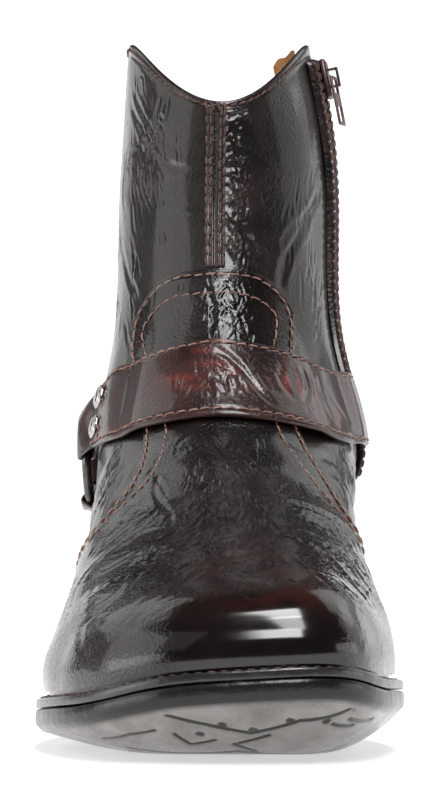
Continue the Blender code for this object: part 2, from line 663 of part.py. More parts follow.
def make_fold(fold, ring_place):
    """A strap's end folded round the ring's wire: a sleeve along a part of the ring."""
    stations = np.radians(fold["way"] + fold["spread"] * np.linspace(-1.0, 1.0, 7))
    around = np.radians(np.arange(10) * 36.0)
    tubes = []
    for radius in (RING_WIRE + GAP + FOLD_THICK, RING_WIRE + GAP):
        reach = RING_RADIUS + radius * np.cos(around)[None, :]
        x = reach * np.cos(stations)[:, None]
        y = reach * np.sin(stations)[:, None]
        tubes.append(np.stack([x, y, radius * np.sin(around)[None, :] + 0.0 * x], axis=-1))
    loops = np.concatenate([tubes[0], tubes[1][::-1]])
    sleeve = add_object(fold["name"], loops_mesh(fold["name"], loops, ladder=False), BURGUNDY, 0.35)
    sleeve.matrix_world = ring_place


def make_rivets():
    """Two domed rivets through the strap's end."""
    for name, turn, rise in RIVETS:
        points = 4
        angles = [math.radians(90.0 * k / points) for k in range(points + 1)]
        profile = [(RIVET_RADIUS * math.sin(a), 0.0, RIVET_HEIGHT * math.cos(a)) for a in angles]
        profile.append((RIVET_RADIUS, 0.0, -0.0004))
        profile.append((0.0, 0.0, -0.0004))
        mesh = bpy.data.meshes.new(name)
        mesh.from_pydata(profile, [(k, k + 1) for k in range(len(profile) - 1)], [])
        rivet = add_object(name, mesh, NICKEL, 0.3, 1.0)
        turned = rivet.modifiers.new("turned", "SCREW")
        turned.steps = turned.render_steps = 16
        turned.use_merge_vertices = True
        turned.merge_threshold = 0.00001
        rivet.matrix_world = frame_at(turn, rise, STRAP_LEVEL + STRAP_THICK + GAP + 0.0004)


def box_mesh(name, size, centre):
    """A box as a mesh."""
    solid = bmesh.new()
    made = bmesh.ops.create_cube(solid, size=1.0)["verts"]
    bmesh.ops.scale(solid, vec=size, verts=made)
    bmesh.ops.translate(solid, vec=centre, verts=made)
    mesh = bpy.data.meshes.new(name)
    solid.to_mesh(mesh)
    solid.free()
    return mesh


def bridge_axis_height():
    """How far the pull tab's axis lies over the slider's underside."""
    return SLIDER_SIZE[2] + 0.5 * (BRIDGE_SIZE[2] - BRIDGE_BAR)


def make_slider():
    """The zip's slider with the bridge that holds its pull tab."""
    wide, long, high = BRIDGE_SIZE
    base = SLIDER_SIZE[2]
    slider = add_object("zip_slider", box_mesh("zip_slider", SLIDER_SIZE, (0.0, 0.0, 0.5 * base)), BRONZE, 0.35, 1.0)
    edges = slider.modifiers.new("rounded", "BEVEL")
    edges.width = 0.0007
    edges.segments = 2
    sunk = 0.5 * base
    bridge = box_mesh("slider_bridge", (wide, long, high + sunk), (0.0, 0.0, base + 0.5 * (high - sunk)))
    inside = high - BRIDGE_BAR
    window = box_mesh("slider_window", (3.0 * wide, long - 2.0 * BRIDGE_BAR, inside), (0.0, 0.0, base + 0.5 * inside))
    level = 3.0 * GAP + ZIP_TAPE_THICK + ZIP_TEETH_THICK
    slider.matrix_world = frame_at(ZIP_LINE[-1]["turn"], SLIDER_RISE, level)
    for mesh, operation in ((bridge, "UNION"), (window, "DIFFERENCE")):
        helper = bpy.data.objects.new(mesh.name, mesh)
        helper.hide_render = True
        helper.display_type = "WIRE"
        helper.matrix_world = slider.matrix_world
        CUTTERS.objects.link(helper)
        step = slider.modifiers.new(mesh.name, "BOOLEAN")
        step.operation = operation
        step.object = helper
    return slider.matrix_world.copy()


def rectangle(curve, width, low, high):
    """A closed rectangle in a flat curve."""
    spline = curve.splines.new("POLY")
    spline.points.add(3)
    corners = ((-0.5 * width, low), (0.5 * width, low), (0.5 * width, high), (-0.5 * width, high))
    for point, (x, y) in zip(spline.points, corners):
        point.co = (x, y, 0.0, 1.0)
    spline.use_cyclic_u = True


def make_pull_tab(slider_place):
    """The pull tab: a plate with an eye round the bridge and a window at its lower end."""
    curve = bpy.data.curves.new("zip_pull_tab", "CURVE")
    curve.dimensions = "2D"
    curve.fill_mode = "BOTH"
    curve.extrude = 0.5 * PULL_THICK
    half_bar = 0.5 * PULL_BAR
    inner = PULL_WIDTH - 2.0 * PULL_BAR
    rectangle(curve, PULL_WIDTH, -PULL_LENGTH, half_bar)
    rectangle(curve, inner, -half_bar - PULL_EYE, -half_bar)
    rectangle(curve, inner, PULL_BAR - PULL_LENGTH, PULL_BAR - PULL_LENGTH + PULL_WINDOW)
    guide = bpy.data.objects.new("zip_pull_tab_guide", curve)
    BOOT.objects.link(guide)
    bpy.context.view_layer.update()
    graph = bpy.context.evaluated_depsgraph_get()
    mesh = bpy.data.meshes.new_from_object(guide.evaluated_get(graph))
    bpy.data.objects.remove(guide)
    mesh.name = "zip_pull_tab"
    solid = bmesh.new()
    solid.from_mesh(mesh)
    bmesh.ops.remove_doubles(solid, verts=solid.verts, dist=0.000001)
    bmesh.ops.recalc_face_normals(solid, faces=solid.faces)
    solid.to_mesh(mesh)
    solid.free()
    tab = add_object("zip_pull_tab", mesh, (0.16, 0.10, 0.09), 0.4, 1.0)
    lifted_up = Matrix.Translation((0.0, 0.0, bridge_axis_height()))
    tab.matrix_world = slider_place @ lifted_up @ Matrix.Rotation(math.radians(-PULL_YAW), 4, "Y")


def main():
    """Builds the boot."""
    clear_scene()
    make_sole()
    make_heel()
    make_upper()
    make_vamp()
    make_seams()
    make_zip()
    make_straps()
    make_ring()
    make_rivets()
    make_pull_tab(make_slider())


main()
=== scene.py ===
import math

import bmesh
import bpy
import numpy as np
from mathutils import Matrix, Vector


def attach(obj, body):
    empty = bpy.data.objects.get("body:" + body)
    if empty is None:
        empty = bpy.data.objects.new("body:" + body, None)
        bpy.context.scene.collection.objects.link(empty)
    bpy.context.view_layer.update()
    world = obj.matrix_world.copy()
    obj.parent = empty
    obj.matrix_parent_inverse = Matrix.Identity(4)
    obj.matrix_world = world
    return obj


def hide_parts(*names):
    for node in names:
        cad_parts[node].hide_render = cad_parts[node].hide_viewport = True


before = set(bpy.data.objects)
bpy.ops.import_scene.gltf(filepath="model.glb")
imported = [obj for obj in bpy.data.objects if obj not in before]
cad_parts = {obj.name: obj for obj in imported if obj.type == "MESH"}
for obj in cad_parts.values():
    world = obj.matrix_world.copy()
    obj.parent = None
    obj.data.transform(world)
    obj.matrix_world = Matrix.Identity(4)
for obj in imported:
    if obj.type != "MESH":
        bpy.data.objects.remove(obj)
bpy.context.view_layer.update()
print("frame loaded")

gap = 0.0003
foot = {"length": 0.304, "ballWidth": 0.110, "shaftDepth": 0.118, "shaftWidth": 0.080, "height": 0.2063,
        "wall": 0.0020, "toeSpring": 0.0085, "heelRise": 0.0236, "roll": 2.9}
sole = {"weltThick": 0.0027, "weltReach": 0.0042, "weltLap": 0.0060, "edge": 0.0068, "belly": 0.0088,
        "bevel": 0.0022, "flatShare": 0.45}
overlayThick = 0.0012
strapThick = 0.0020

# along the foot, share of the toe spring, share of the heel's rise
featherHeights = np.array([
    (-0.900, 1.25, 0.00), (-0.868, 1.00, 0.00), (-0.838, 0.72, 0.00), (-0.740, 0.31, 0.00),
    (-0.625, 0.08, 0.00), (-0.526, 0.00, 0.00), (-0.395, 0.00, 0.14), (-0.296, 0.00, 0.36),
    (-0.197, 0.00, 0.63), (-0.105, 0.00, 0.83), (0.110, 0.00, 1.00), (0.150, 0.00, 1.02),
])
# the last's outline: along, across and, where it is known, the way that place faces
feather = [
    (0.112, 0.000, 0.0), (0.084, -0.205, None), (0.005, -0.300, 38.0), (-0.235, -0.325, 88.0),
    (-0.545, -0.462, 134.0), (-0.690, -0.430, None), (-0.808, -0.290, None), (-0.857, -0.125, 166.0),
    (-0.868, 0.085, 180.0), (-0.857, 0.280, 194.0), (-0.805, 0.370, None), (-0.715, 0.424, None),
    (-0.610, 0.444, 226.0), (-0.270, 0.262, 272.0), (0.005, 0.295, 322.0), (0.084, 0.205, None),
]
# rise, leg, back, depth, outer, inner, front, side, rear, sole, shape
loops = np.array([
    (0.00, 0.0, 0.112, 0.980, 0.462, 0.444, 0.000, 0.000, 0.000, 1.0, 1.00),
    (0.06, 0.0, 0.119, 0.987, 0.466, 0.446, 0.041, 0.057, 0.069, 1.0, 1.00),
    (0.13, 0.0, 0.124, 0.962, 0.436, 0.422, 0.089, 0.143, 0.146, 1.0, 0.95),
    (0.24, 0.0, 0.122, 0.829, 0.440, 0.427, 0.139, 0.212, 0.243, 0.6, 0.62),
    (0.37, 0.5, 0.112, 0.872, 0.472, 0.522, 0.255, 0.299, 0.339, 0.0, 0.22),
    (0.49, 1.0, 0.100, 1.198, 0.512, 0.548, 0.402, 0.405, 0.453, 0.0, 0.00),
    (0.61, 1.0, 0.094, 1.056, 0.470, 0.484, 0.537, 0.524, 0.558, 0.0, 0.00),
    (0.75, 1.0, 0.096, 1.002, 0.457, 0.477, 0.682, 0.684, 0.684, 0.0, 0.00),
    (0.88, 1.0, 0.100, 0.994, 0.435, 0.461, 0.790, 0.842, 0.785, 0.0, 0.00),
    (1.00, 1.0, 0.103, 0.994, 0.413, 0.388, 0.866, 1.000, 0.847, 0.0, 0.00),
])
# rise, outer turn, inner turn of the vamp's rear edges
vampEdge = np.array([
    (0.020, 99.0, 262.0), (0.070, 103.0, 257.0), (0.130, 110.0, 249.0), (0.190, 118.5, 239.0),
    (0.250, 129.0, 229.0), (0.300, 141.0, 220.0), (0.350, 148.5, 214.0), (0.420, 147.5, 209.0),
    (0.490, 139.0, 211.0), (0.550, 130.0, 215.0), (0.600, 131.0, 217.0), (0.680, 134.0, 216.0),
])
vampTop = {"rise": 0.662, "drop": 0.060}
# turn, lower and upper rise of the straps that run round the boot
instepStrap = np.array([
    (107.0, 0.392, 0.494), (116.0, 0.402, 0.523), (130.0, 0.412, 0.533), (150.0, 0.426, 0.540),
    (178.0, 0.440, 0.550), (206.0, 0.428, 0.539), (230.0, 0.410, 0.528), (251.5, 0.396, 0.520),
])
heelStrap = np.array([
    (-78.0, 0.395, 0.500), (-50.0, 0.350, 0.455), (-20.0, 0.328, 0.430), (15.0, 0.320, 0.425),
    (45.0, 0.314, 0.422), (70.0, 0.303, 0.408),
])
# rise, turn of the lines up the boot
frontSeamLine = np.array([(0.60, 176.4), (1.00, 176.8)])
backSeamLine = np.array([(0.00, 0.0), (1.00, 0.0)])
zipLine = np.array([(0.33, 270.0), (0.40, 267.0), (0.50, 265.0), (0.75, 262.0), (1.00, 256.0)])
downStrapLine = np.array([(0.00, 76.0), (0.24, 81.0)])


def softStep(value):
    # 0 below 0, 1 above 1, 3v^2 - 2v^3 between
    value = np.clip(value, 0.0, 1.0)
    return value * value * (3.0 - 2.0 * value)


def splineThrough(knots, values, roundTrip=False):
    # cubic spline through rows of values; its second derivatives solve the usual three-term equations
    knots = np.asarray(knots, float)
    values = np.asarray(values, float).reshape(len(knots), -1)
    steps = np.diff(knots)
    slopes = np.diff(values, axis=0) / steps[:, None]
    count = len(knots) - 1 if roundTrip else len(knots)
    matrix = np.zeros((count, count))
    right = np.zeros((count, values.shape[1]))
    for i in range(count):
        if not roundTrip and i in (0, count - 1):
            matrix[i, i] = 1.0
            continue
        matrix[i, (i - 1) % count] += steps[i - 1]
        matrix[i, i] += 2.0 * (steps[i - 1] + steps[i])
        matrix[i, (i + 1) % count] += steps[i]
        right[i] = 6.0 * (slopes[i] - slopes[i - 1])
    bends = np.linalg.solve(matrix, right)
    bends = np.concatenate([bends, bends[:1]]) if roundTrip else bends

    def at(place):
        place = np.asarray(place, float)
        i = np.clip(np.searchsorted(knots, place, side="right") - 1, 0, len(knots) - 2)
        step = knots[i + 1] - knots[i]
        left = ((knots[i + 1] - place) / step)[..., None]
        other = 1.0 - left
        sag = (left ** 3 - left) * bends[i] + (other ** 3 - other) * bends[i + 1]
        return left * values[i] + other * values[i + 1] + sag * (step * step)[..., None] / 6.0

    return at


outlinePoints = np.array([(row[1] * foot["ballWidth"], row[0] * foot["length"]) for row in feather])
outlinePoints = np.concatenate([outlinePoints, outlinePoints[:1]])
chords = np.linalg.norm(np.diff(outlinePoints, axis=0), axis=1) ** 0.7
outlineKnots = np.concatenate([[0.0], np.cumsum(chords)]) / chords.sum()
outlineAt = splineThrough(outlineKnots, outlinePoints, True)
turnMarks = [(outlineKnots[i], row[2]) for i, row in enumerate(feather) if row[2] is not None]
turnMarks.append((1.0, 360.0))
turnAt = splineThrough([m[0] for m in turnMarks], [m[1] - 360.0 * m[0] for m in turnMarks], True)
legShare = loops[:, 1]
loopLengths = (1.0 - legShare) * foot["length"] + legShare * foot["shaftDepth"]
loopWidths = (1.0 - legShare) * foot["ballWidth"] + legShare * foot["shaftWidth"]
loopSizes = np.stack([loops[:, 2] * foot["length"], loops[:, 3] * loopLengths, loops[:, 4] * loopWidths,
                      loops[:, 5] * loopWidths, loops[:, 6] * foot["height"], loops[:, 7] * foot["height"],
                      loops[:, 8] * foot["height"], loops[:, 9], loops[:, 10]], axis=1)
loopAt = splineThrough(loops[:, 0], loopSizes)
toeShareAt = splineThrough(featherHeights[:, 0] * foot["length"], featherHeights[:, 1])
heelShareAt = splineThrough(featherHeights[:, 0] * foot["length"], featherHeights[:, 2])
soleStack = sole["weltThick"] + sole["edge"] + sole["belly"] - 0.0008
meanLevel = soleStack + 0.5 * foot["heelRise"]
foreEnd = foot["length"] * feather[8][0]
rearEnd = foot["length"] * feather[0][0]
outerReach = foot["ballWidth"] * -min(row[1] for row in feather)
innerReach = foot["ballWidth"] * max(row[1] for row in feather)
densePlaces = np.linspace(0.0, 1.0, 721)
denseTurns = turnAt(densePlaces)[..., 0] + 360.0 * densePlaces


def placeAt(turn):
    # the place along the outline that faces this way
    return np.interp(np.asarray(turn) % 360.0, denseTurns, densePlaces)


def featherHeight(x, y):
    # sole stack, toe spring, heel rise and the forefoot's roll towards the outer side
    fade = softStep((-0.20 * foot["length"] - y) / (0.33 * foot["length"]))
    level = soleStack + foot["toeSpring"] * toeShareAt(y)[..., 0] + foot["heelRise"] * heelShareAt(y)[..., 0]
    return level + x * math.tan(math.radians(foot["roll"])) * fade


def bootSurface(place, rise):
    # the upper's outer face: each loop is the last's outline and a plain oval in shares,
    # with its height from the front, side and rear heights by cosines of the turn
    place, rise = np.broadcast_arrays(np.asarray(place, float) % 1.0, np.asarray(rise, float))
    x, y = np.moveaxis(outlineAt(place), -1, 0)
    turn = np.radians(turnAt(place)[..., 0] + 360.0 * place)
    back, depth, outer, inner, front, side, rear, flat, shape = np.moveaxis(loopAt(rise), -1, 0)
    across = np.where(x < 0.0, x / outerReach, x / innerReach)
    along = (2.0 * y - rearEnd - foreEnd) / (rearEnd - foreEnd)
    across = shape * across - (1.0 - shape) * np.sin(turn)
    along = shape * along + (1.0 - shape) * np.cos(turn)
    innerShare = 0.5 + 0.5 * np.tanh(4.0 * across)
    level = flat * featherHeight(x, y) + (1.0 - flat) * meanLevel + (front + rear + 2.0 * side) / 4.0
    level = level + np.cos(turn) * (rear - front) / 2.0
    level = level + np.cos(2.0 * turn) * (front + rear - 2.0 * side) / 4.0
    width = outer + (inner - outer) * innerShare
    return np.stack([across * width, back - depth * (1.0 - along) / 2.0, level], axis=-1)


def onPlan(plan, level):
    # points in space from points in plan and their heights
    return np.concatenate([plan, level[..., None]], axis=-1)


def unit(vectors):
    # each vector over its length
    return vectors / np.maximum(np.linalg.norm(vectors, axis=-1, keepdims=True), 1e-12)


def bootNormal(place, rise):
    # cross product of the two ways along the face, pointing out
    step = 1e-4
    roundWay = bootSurface(place + step, rise) - bootSurface(place - step, rise)
    upWay = bootSurface(place, rise + step) - bootSurface(place, rise - step)
    return unit(np.cross(roundWay, upWay))


def lifted(place, rise, lift):
    # points at a height over the upper's outer face
    lift = np.broadcast_to(np.asarray(lift, float), np.broadcast(place, rise).shape)
    return bootSurface(place, rise) + bootNormal(place, rise) * lift[..., None]


def degreesPerMetre(turn, rise):
    # one degree over the length that it takes round the boot
    ends = bootSurface(placeAt(np.array([turn - 0.5, turn + 0.5])), rise)
    return 1.0 / np.linalg.norm(ends[1] - ends[0])


def risePerMetre(turn, rise):
    # a hundredth of the rise over the length that it takes up the boot
    ends = bootSurface(placeAt(turn), np.array([rise - 0.005, rise + 0.005]))
    return 0.01 / np.linalg.norm(ends[1] - ends[0])


def slid(place, rise, way):
    # the place and rise reached by a small step along the face: least squares on its two ways
    step = 1e-4
    roundWay = (bootSurface(place + step, rise) - bootSurface(place - step, rise)) / (2.0 * step)
    upWay = (bootSurface(place, rise + step) - bootSurface(place, rise - step)) / (2.0 * step)
    a, b, c = (roundWay * roundWay).sum(-1), (roundWay * upWay).sum(-1), (upWay * upWay).sum(-1)
    p, q = (roundWay * way).sum(-1), (upWay * way).sum(-1)
    return place + (c * p - b * q) / (a * c - b * b), rise + (a * q - b * p) / (a * c - b * b)


def movedIn(place, rise, distance):
    # a line on the boot moved to its right-hand side, seen from outside, in two half steps
    for half in range(2):
        points = bootSurface(place, rise)
        way = unit(np.gradient(points, axis=0))
        right = np.cross(way, bootNormal(place, rise))
        place, rise = slid(place, rise, right * (0.5 * np.asarray(distance))[..., None])
    return place, rise


def creaseRelief(points, creases):
    # a crease is a trough -deep e^-(d/wide)^2 along its curve with a soft ridge at 1.9 wide, faded at both ends
    flat = points.reshape(-1, 3)
    relief = np.zeros(len(flat))
    for crease in creases:
        marks = np.array(crease["way"], float)
        marks = splineThrough(np.linspace(0.0, 1.0, len(marks)), marks)(np.linspace(0.0, 1.0, 29))
        path = bootSurface(placeAt(marks[:, 0]), marks[:, 1])
        deep, wide = 0.001 * crease["deep"], 0.001 * crease["wide"]
        low, high = path.min(0) - 4.5 * wide, path.max(0) + 4.5 * wide
        near = np.nonzero(((flat > low) & (flat < high)).all(1))[0]
        if len(near) == 0:
            continue
        step = np.diff(path, axis=0)
        away = flat[near][:, None, :] - path[None, :-1]
        share = np.clip((away * step).sum(-1) / (step * step).sum(-1), 0.0, 1.0)
        distance = np.linalg.norm(away - share[..., None] * step, axis=-1)
        best = distance.argmin(1)
        rows = np.arange(len(near))
        far = distance[rows, best] / wide
        place = (best + share[rows, best]) / len(step)
        fade = np.sin(math.pi * np.clip(place, 0.0, 1.0)) ** 0.7
        relief[near] += deep * fade * (0.5 * np.exp(-((far - 1.9) / 0.9) ** 2) - np.exp(-far * far))
    return relief.reshape(points.shape[:-1])


def creaseRows(rows, deeper=1.0, wider=1.0):
    # creases from rows of depth and width in mm, then the turn and rise of each mark along them
    return [{"way": list(zip(row[2::2], row[3::2])), "deep": deeper * row[0], "wide": wider * row[1]}
            for row in rows]


def creaseField(field, seed):
    # short creases scattered round a middle, each turned by a slant and its jitter
    turn, rise, turnSpread, riseSpread, tilt, jitter, count, length, deep, wide = field
    rng = np.random.default_rng(seed)
    creases = []
    for i in range(count):
        t = turn + turnSpread * rng.normal()
        r = float(np.clip(rise + riseSpread * rng.normal(), 0.05, 0.97))
        slant = math.radians(tilt + jitter * rng.normal())
        half = 0.0005 * length * (0.6 + 0.8 * rng.random())
        dt = half * math.cos(slant) * degreesPerMetre(t, r)
        dr = half * math.sin(slant) * risePerMetre(t, r)
        bow = 0.3 * rng.normal()
        creases.append({"way": [(t - dt, r - dr), (t - bow * dr * 120.0, r + bow * dt / 160.0),
                                (t + dt, r + dr)],
                        "deep": deep * (0.5 + rng.random()), "wide": wide * (0.7 + 0.6 * rng.random())})
    return creases


def creaseFields(fields, more, deeper, wider, firstSeed):
    # several fields, their counts, depths and widths scaled
    creases = []
    for number, field in enumerate(fields):
        scaled = field[:6] + (int(more * field[6]), field[7], deeper * field[8], wider * field[9])
        creases += creaseField(scaled, firstSeed + number)
    return creases


def softWaves(points, size, seed):
    # slow swells of the leather: a few sines of the place in random ways
    rng = np.random.default_rng(seed)
    total = np.zeros(points.shape[:-1])
    for i in range(9):
        way = rng.normal(size=3)
        way *= (2.0 * math.pi / (0.018 + 0.030 * rng.random())) / np.linalg.norm(way)
        total += np.sin(points @ way + rng.random() * 6.28)
    return size * total / 3.0


def softSpots(turn, rise, rows):
    # soft spots e^-(dt^2 + dr^2), from rows of turn, rise, their two spreads and the strength
    total = 0.0 * turn
    for t, r, turnSpread, riseSpread, strength in rows:
        total = total + strength * np.exp(-((turn - t) / turnSpread) ** 2 - ((rise - r) / riseSpread) ** 2)
    return total


def meshPiece(name, vertices, faceSets, material, fields=None, body="boot", slot=None, stands=()):
    # a mesh from whole arrays, riding on its body and standing for its CAD nodes
    mesh = bpy.data.meshes.new(name)
    corners = np.concatenate([faces.ravel() for faces in faceSets]).astype(np.int32)
    sizes = np.concatenate([np.full(len(faces), faces.shape[1]) for faces in faceSets])
    starts = np.concatenate([[0], np.cumsum(sizes)[:-1]]).astype(np.int32)
    mesh.vertices.add(len(vertices))
    mesh.vertices.foreach_set("co", np.asarray(vertices, np.float32).ravel())
    mesh.loops.add(len(corners))
    mesh.loops.foreach_set("vertex_index", corners)
    mesh.polygons.add(len(sizes))
    mesh.polygons.foreach_set("loop_start", starts)
    mesh.update(calc_edges=True)
    for field, values in (fields or {}).items():
        layer = mesh.attributes.new(field, "FLOAT", "POINT")
        layer.data.foreach_set("value", np.asarray(values, np.float32).ravel())
    mesh.shade_smooth()
    mesh.materials.append(material)
    piece = bpy.data.objects.new(name, mesh)
    bpy.context.scene.collection.objects.link(piece)
    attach(piece, body)
    if stands:
        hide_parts(*stands)
    return piece


def gridFaces(rows, columns, roundFirst=False, roundSecond=False, offset=0):
    # quads of a grid, facing first way x second way
    index = np.arange(rows * columns).reshape(rows, columns) + offset
    if roundFirst:
        index = np.concatenate([index, index[:1]])
    if roundSecond:
        index = np.concatenate([index, index[:, :1]], axis=1)
    return np.stack([index[:-1, :-1], index[1:, :-1], index[1:, 1:], index[:-1, 1:]], axis=-1).reshape(-1, 4)


def gridPiece(name, points, material, roundFirst=False, roundSecond=False, **more):
    # a piece from a grid of points
    faces = gridFaces(points.shape[0], points.shape[1], roundFirst, roundSecond)
    return meshPiece(name, points.reshape(-1, 3), [faces], material, **more)


def along(path, values, wanted):
    # values at lengths along a path
    lengths = np.concatenate([[0.0], np.cumsum(np.linalg.norm(np.diff(path, axis=0), axis=1))])
    return np.stack([np.interp(wanted, lengths, values[:, k]) for k in range(values.shape[1])], axis=-1)


def pathLength(path):
    # the sum of the lengths between neighbours
    return float(np.linalg.norm(np.diff(path, axis=0), axis=1).sum())


def stitchRow(path, normals, style):
    # stitches along a path: each is a six-sided thread that arches out of the leather and dips back in
    rings, sides = 7, 6
    whole = pathLength(path)
    count = max(int(whole / style["pitch"]), 1)
    middles = (np.arange(count) + 0.5) * whole / count
    local = np.linspace(-0.5, 0.5, rings)
    wanted = middles[:, None] + local * style["length"]
    centre = along(path, path, wanted)
    out = unit(along(path, normals, wanted))
    way = unit(along(path, path, wanted + 0.0003) - along(path, path, wanted - 0.0003))
    side = unit(np.cross(out, way))
    rng = np.random.default_rng(count)
    slants = style.get("slant", 0.0) * (1.0 + 0.3 * rng.normal(size=(count, 1, 1)))
    centre = centre + side * slants * (2.0 * local)[None, :, None]
    centre = centre + side * (0.00012 * rng.normal(size=(count, 1, 1)))
    arch = 1.0 - np.abs(2.0 * local) ** 3
    centre = centre + out * (style["radius"] * (1.25 * arch - 0.75))[None, :, None]
    thick = style["radius"] * (1.0 - 0.5 * np.abs(2.0 * local) ** 4)
    angle = 2.0 * math.pi * np.arange(sides) / sides
    ring = side[..., None, :] * np.cos(angle)[:, None] - out[..., None, :] * np.sin(angle)[:, None]
    points = centre[..., None, :] + ring * thick[None, :, None, None]
    starts = (np.arange(count) * rings * sides)[:, None, None]
    walls = gridFaces(rings, sides, roundSecond=True)[None] + starts
    cap = np.array([[0, 1, 2, 5], [2, 3, 4, 5]])
    ends = np.concatenate([cap, cap[:, ::-1] + (rings - 1) * sides])
    return points.reshape(-1, 3), np.concatenate([walls.reshape(-1, 4), (ends[None] + starts).reshape(-1, 4)])


def threadPiece(name, rows, material, slot):
    # several rows of stitches as one piece
    vertices, faces, offset = [], [], 0
    for path, normals, style in rows:
        points, quads = stitchRow(path, normals, style)
        vertices.append(points)
        faces.append(quads + offset)
        offset += len(points)
    return meshPiece(name, np.concatenate(vertices), [np.concatenate(faces)], material, slot=slot)


# materials
def newMaterial(name):
    # a material with its tree and its shader
    material = bpy.data.materials.new(name)
    material.use_nodes = True
    tree = material.node_tree
    return material, tree, tree.nodes["Principled BSDF"]


def node(tree, kind, inputs=None, **settings):
    # a node with its sockets linked or set
    made = tree.nodes.new(kind)
    for key, value in settings.items():
        setattr(made, key, value)
    for key, value in (inputs or {}).items():
        if isinstance(value, bpy.types.NodeSocket):
            tree.links.new(value, made.inputs[key])
        else:
            made.inputs[key].default_value = value
    return made


def ramped(tree, value, low, high, floor=0.0, top=1.0):
    # a value spread from low..high to floor..top
    return node(tree, "ShaderNodeMapRange", {0: value, 1: low, 2: high, 3: floor, 4: top}).outputs[0]


def mixed(tree, factor, first, second):
    # first times 1 - factor plus second times factor, of colours or sockets
    made = node(tree, "ShaderNodeMix", {0: factor}, data_type="RGBA")
    for place, value in ((6, first), (7, second)):
        if isinstance(value, bpy.types.NodeSocket):
            tree.links.new(value, made.inputs[place])
        else:
            made.inputs[place].default_value = (*value, 1.0)
    return made.outputs[2]


def mathed(tree, operation, first, second=0.5):
    # one sum of two values
    return node(tree, "ShaderNodeMath", {0: first, 1: second}, operation=operation).outputs[0]


def times(tree, first, second):
    return mathed(tree, "MULTIPLY", first, second)


def painted(tree, name):
    # a value painted on the piece
    return node(tree, "ShaderNodeAttribute", attribute_name=name).outputs["Fac"]


def noiseOf(tree, where, scale, detail=4.0, rough=0.55, warp=0.0, kind="FBM"):
    # noise by place, as a value
    made = node(tree, "ShaderNodeTexNoise", {"Vector": where, "Scale": scale, "Detail": detail,
                                             "Roughness": rough, "Distortion": warp}, noise_type=kind)
    return made.outputs[0]


def bumped(tree, height, distance, strength=1.0, below=None):
    # a normal bent by the slope of a height, over the bump below it
    inputs = {"Height": height, "Distance": distance, "Strength": strength}
    if below is not None:
        inputs["Normal"] = below
    return node(tree, "ShaderNodeBump", inputs).outputs[0]


def leatherMaterial(name, look):
    # brush-off leather: dark finish over a warm ground that shows where "rub" is high and along the crinkles,
    # with pale lines along the scratches painted in as highlights
    material, tree, shader = newMaterial(name)
    where = node(tree, "ShaderNodeTexCoord").outputs["Object"]
    stretched = node(tree, "ShaderNodeMapping", {"Vector": where, "Scale": look["stretch"]}).outputs[0]
    rub = painted(tree, "rub")
    clouds = noiseOf(tree, where, 60.0, 5.0, 0.6, 0.6)
    crinkle = noiseOf(tree, stretched, look["crinkle"], 7.0, 0.62, 0.9, "RIDGED_MULTIFRACTAL")
    crinkle = ramped(tree, crinkle, 0.15, 1.5)
    pores = node(tree, "ShaderNodeTexVoronoi", {"Vector": where, "Scale": look["grain"]}).outputs[0]
    leaning = node(tree, "ShaderNodeMapping",
                   {"Vector": where, "Scale": (1.0, 1.0, 5.0), "Rotation": (0.4, 0.7, 0.2)})
    scratches = noiseOf(tree, leaning.outputs[0], 160.0, 6.0, 0.7, 1.4, "RIDGED_MULTIFRACTAL")
    streaks = ramped(tree, scratches, 0.8, 1.5, 0.25, 1.0)
    worn = times(tree, times(tree, rub, streaks), ramped(tree, clouds, 0.38, 0.62, 0.10, 1.0))
    ground = mixed(tree, ramped(tree, clouds, 0.35, 0.65), look["dark"], look["second"])
    coloured = mixed(tree, worn, ground, look["warm"])
    # painted highlight: pale "light" lines on the scratch ridges, mixed over the base colour by the "lines"
    # share
    lines = times(tree, ramped(tree, scratches, 1.25, 1.9), look["lines"])
    paintedHighlightColour = mixed(tree, lines, coloured, look["light"])
    tree.links.new(paintedHighlightColour, shader.inputs["Base Color"])
    soft = ramped(tree, painted(tree, "polish"), 0.0, 1.0, 1.0, 0.0)
    uneven = mathed(tree, "ADD", ramped(tree, clouds, 0.3, 0.7, *look["rough"]),
                    ramped(tree, pores, 0.0, 1.0, 0.0, 0.06))
    rough = times(tree, uneven, ramped(tree, soft, 0.0, 1.0, 0.45, 1.0))
    tree.links.new(rough, shader.inputs["Roughness"])
    first = bumped(tree, times(tree, crinkle, soft), look["crinkleHeight"], 1.0)
    second = bumped(tree, times(tree, clouds, soft), 0.0006, 0.6, first)
    scratched = times(tree, ramped(tree, scratches, 0.7, 1.8), soft)
    third = bumped(tree, scratched, look["scratchHeight"], 0.9, second)
    fourth = bumped(tree, times(tree, pores, soft), look["grainHeight"], 0.8, third)
    tree.links.new(fourth, shader.inputs["Normal"])
    shader.inputs["Coat Weight"].default_value = look["coat"]
    shader.inputs["Coat Roughness"].default_value = look["coatRough"]
    shader.inputs["Specular IOR Level"].default_value = look["specular"]
    return material


def plainMaterial(name, colour, roughness, metallic=0.0, bump=None, coat=0.0, spots=None):
    # one colour with a fine uneven finish: bump is (scale, height), spots a second colour
    material, tree, shader = newMaterial(name)
    where = node(tree, "ShaderNodeTexCoord").outputs["Object"]
    clouds = noiseOf(tree, where, 220.0, 5.0, 0.6, 0.4)
    other = spots or tuple(0.6 * c for c in colour)
    tree.links.new(mixed(tree, ramped(tree, clouds, 0.4, 0.7), colour, other), shader.inputs["Base Color"])
    tree.links.new(ramped(tree, clouds, 0.3, 0.7, 0.85 * roughness, 1.2 * roughness),
                   shader.inputs["Roughness"])
    shader.inputs["Metallic"].default_value = metallic
    shader.inputs["Coat Weight"].default_value = coat
    if bump:
        fine = noiseOf(tree, where, bump[0], 4.0, 0.6)
        tree.links.new(bumped(tree, fine, bump[1]), shader.inputs["Normal"])
    return material
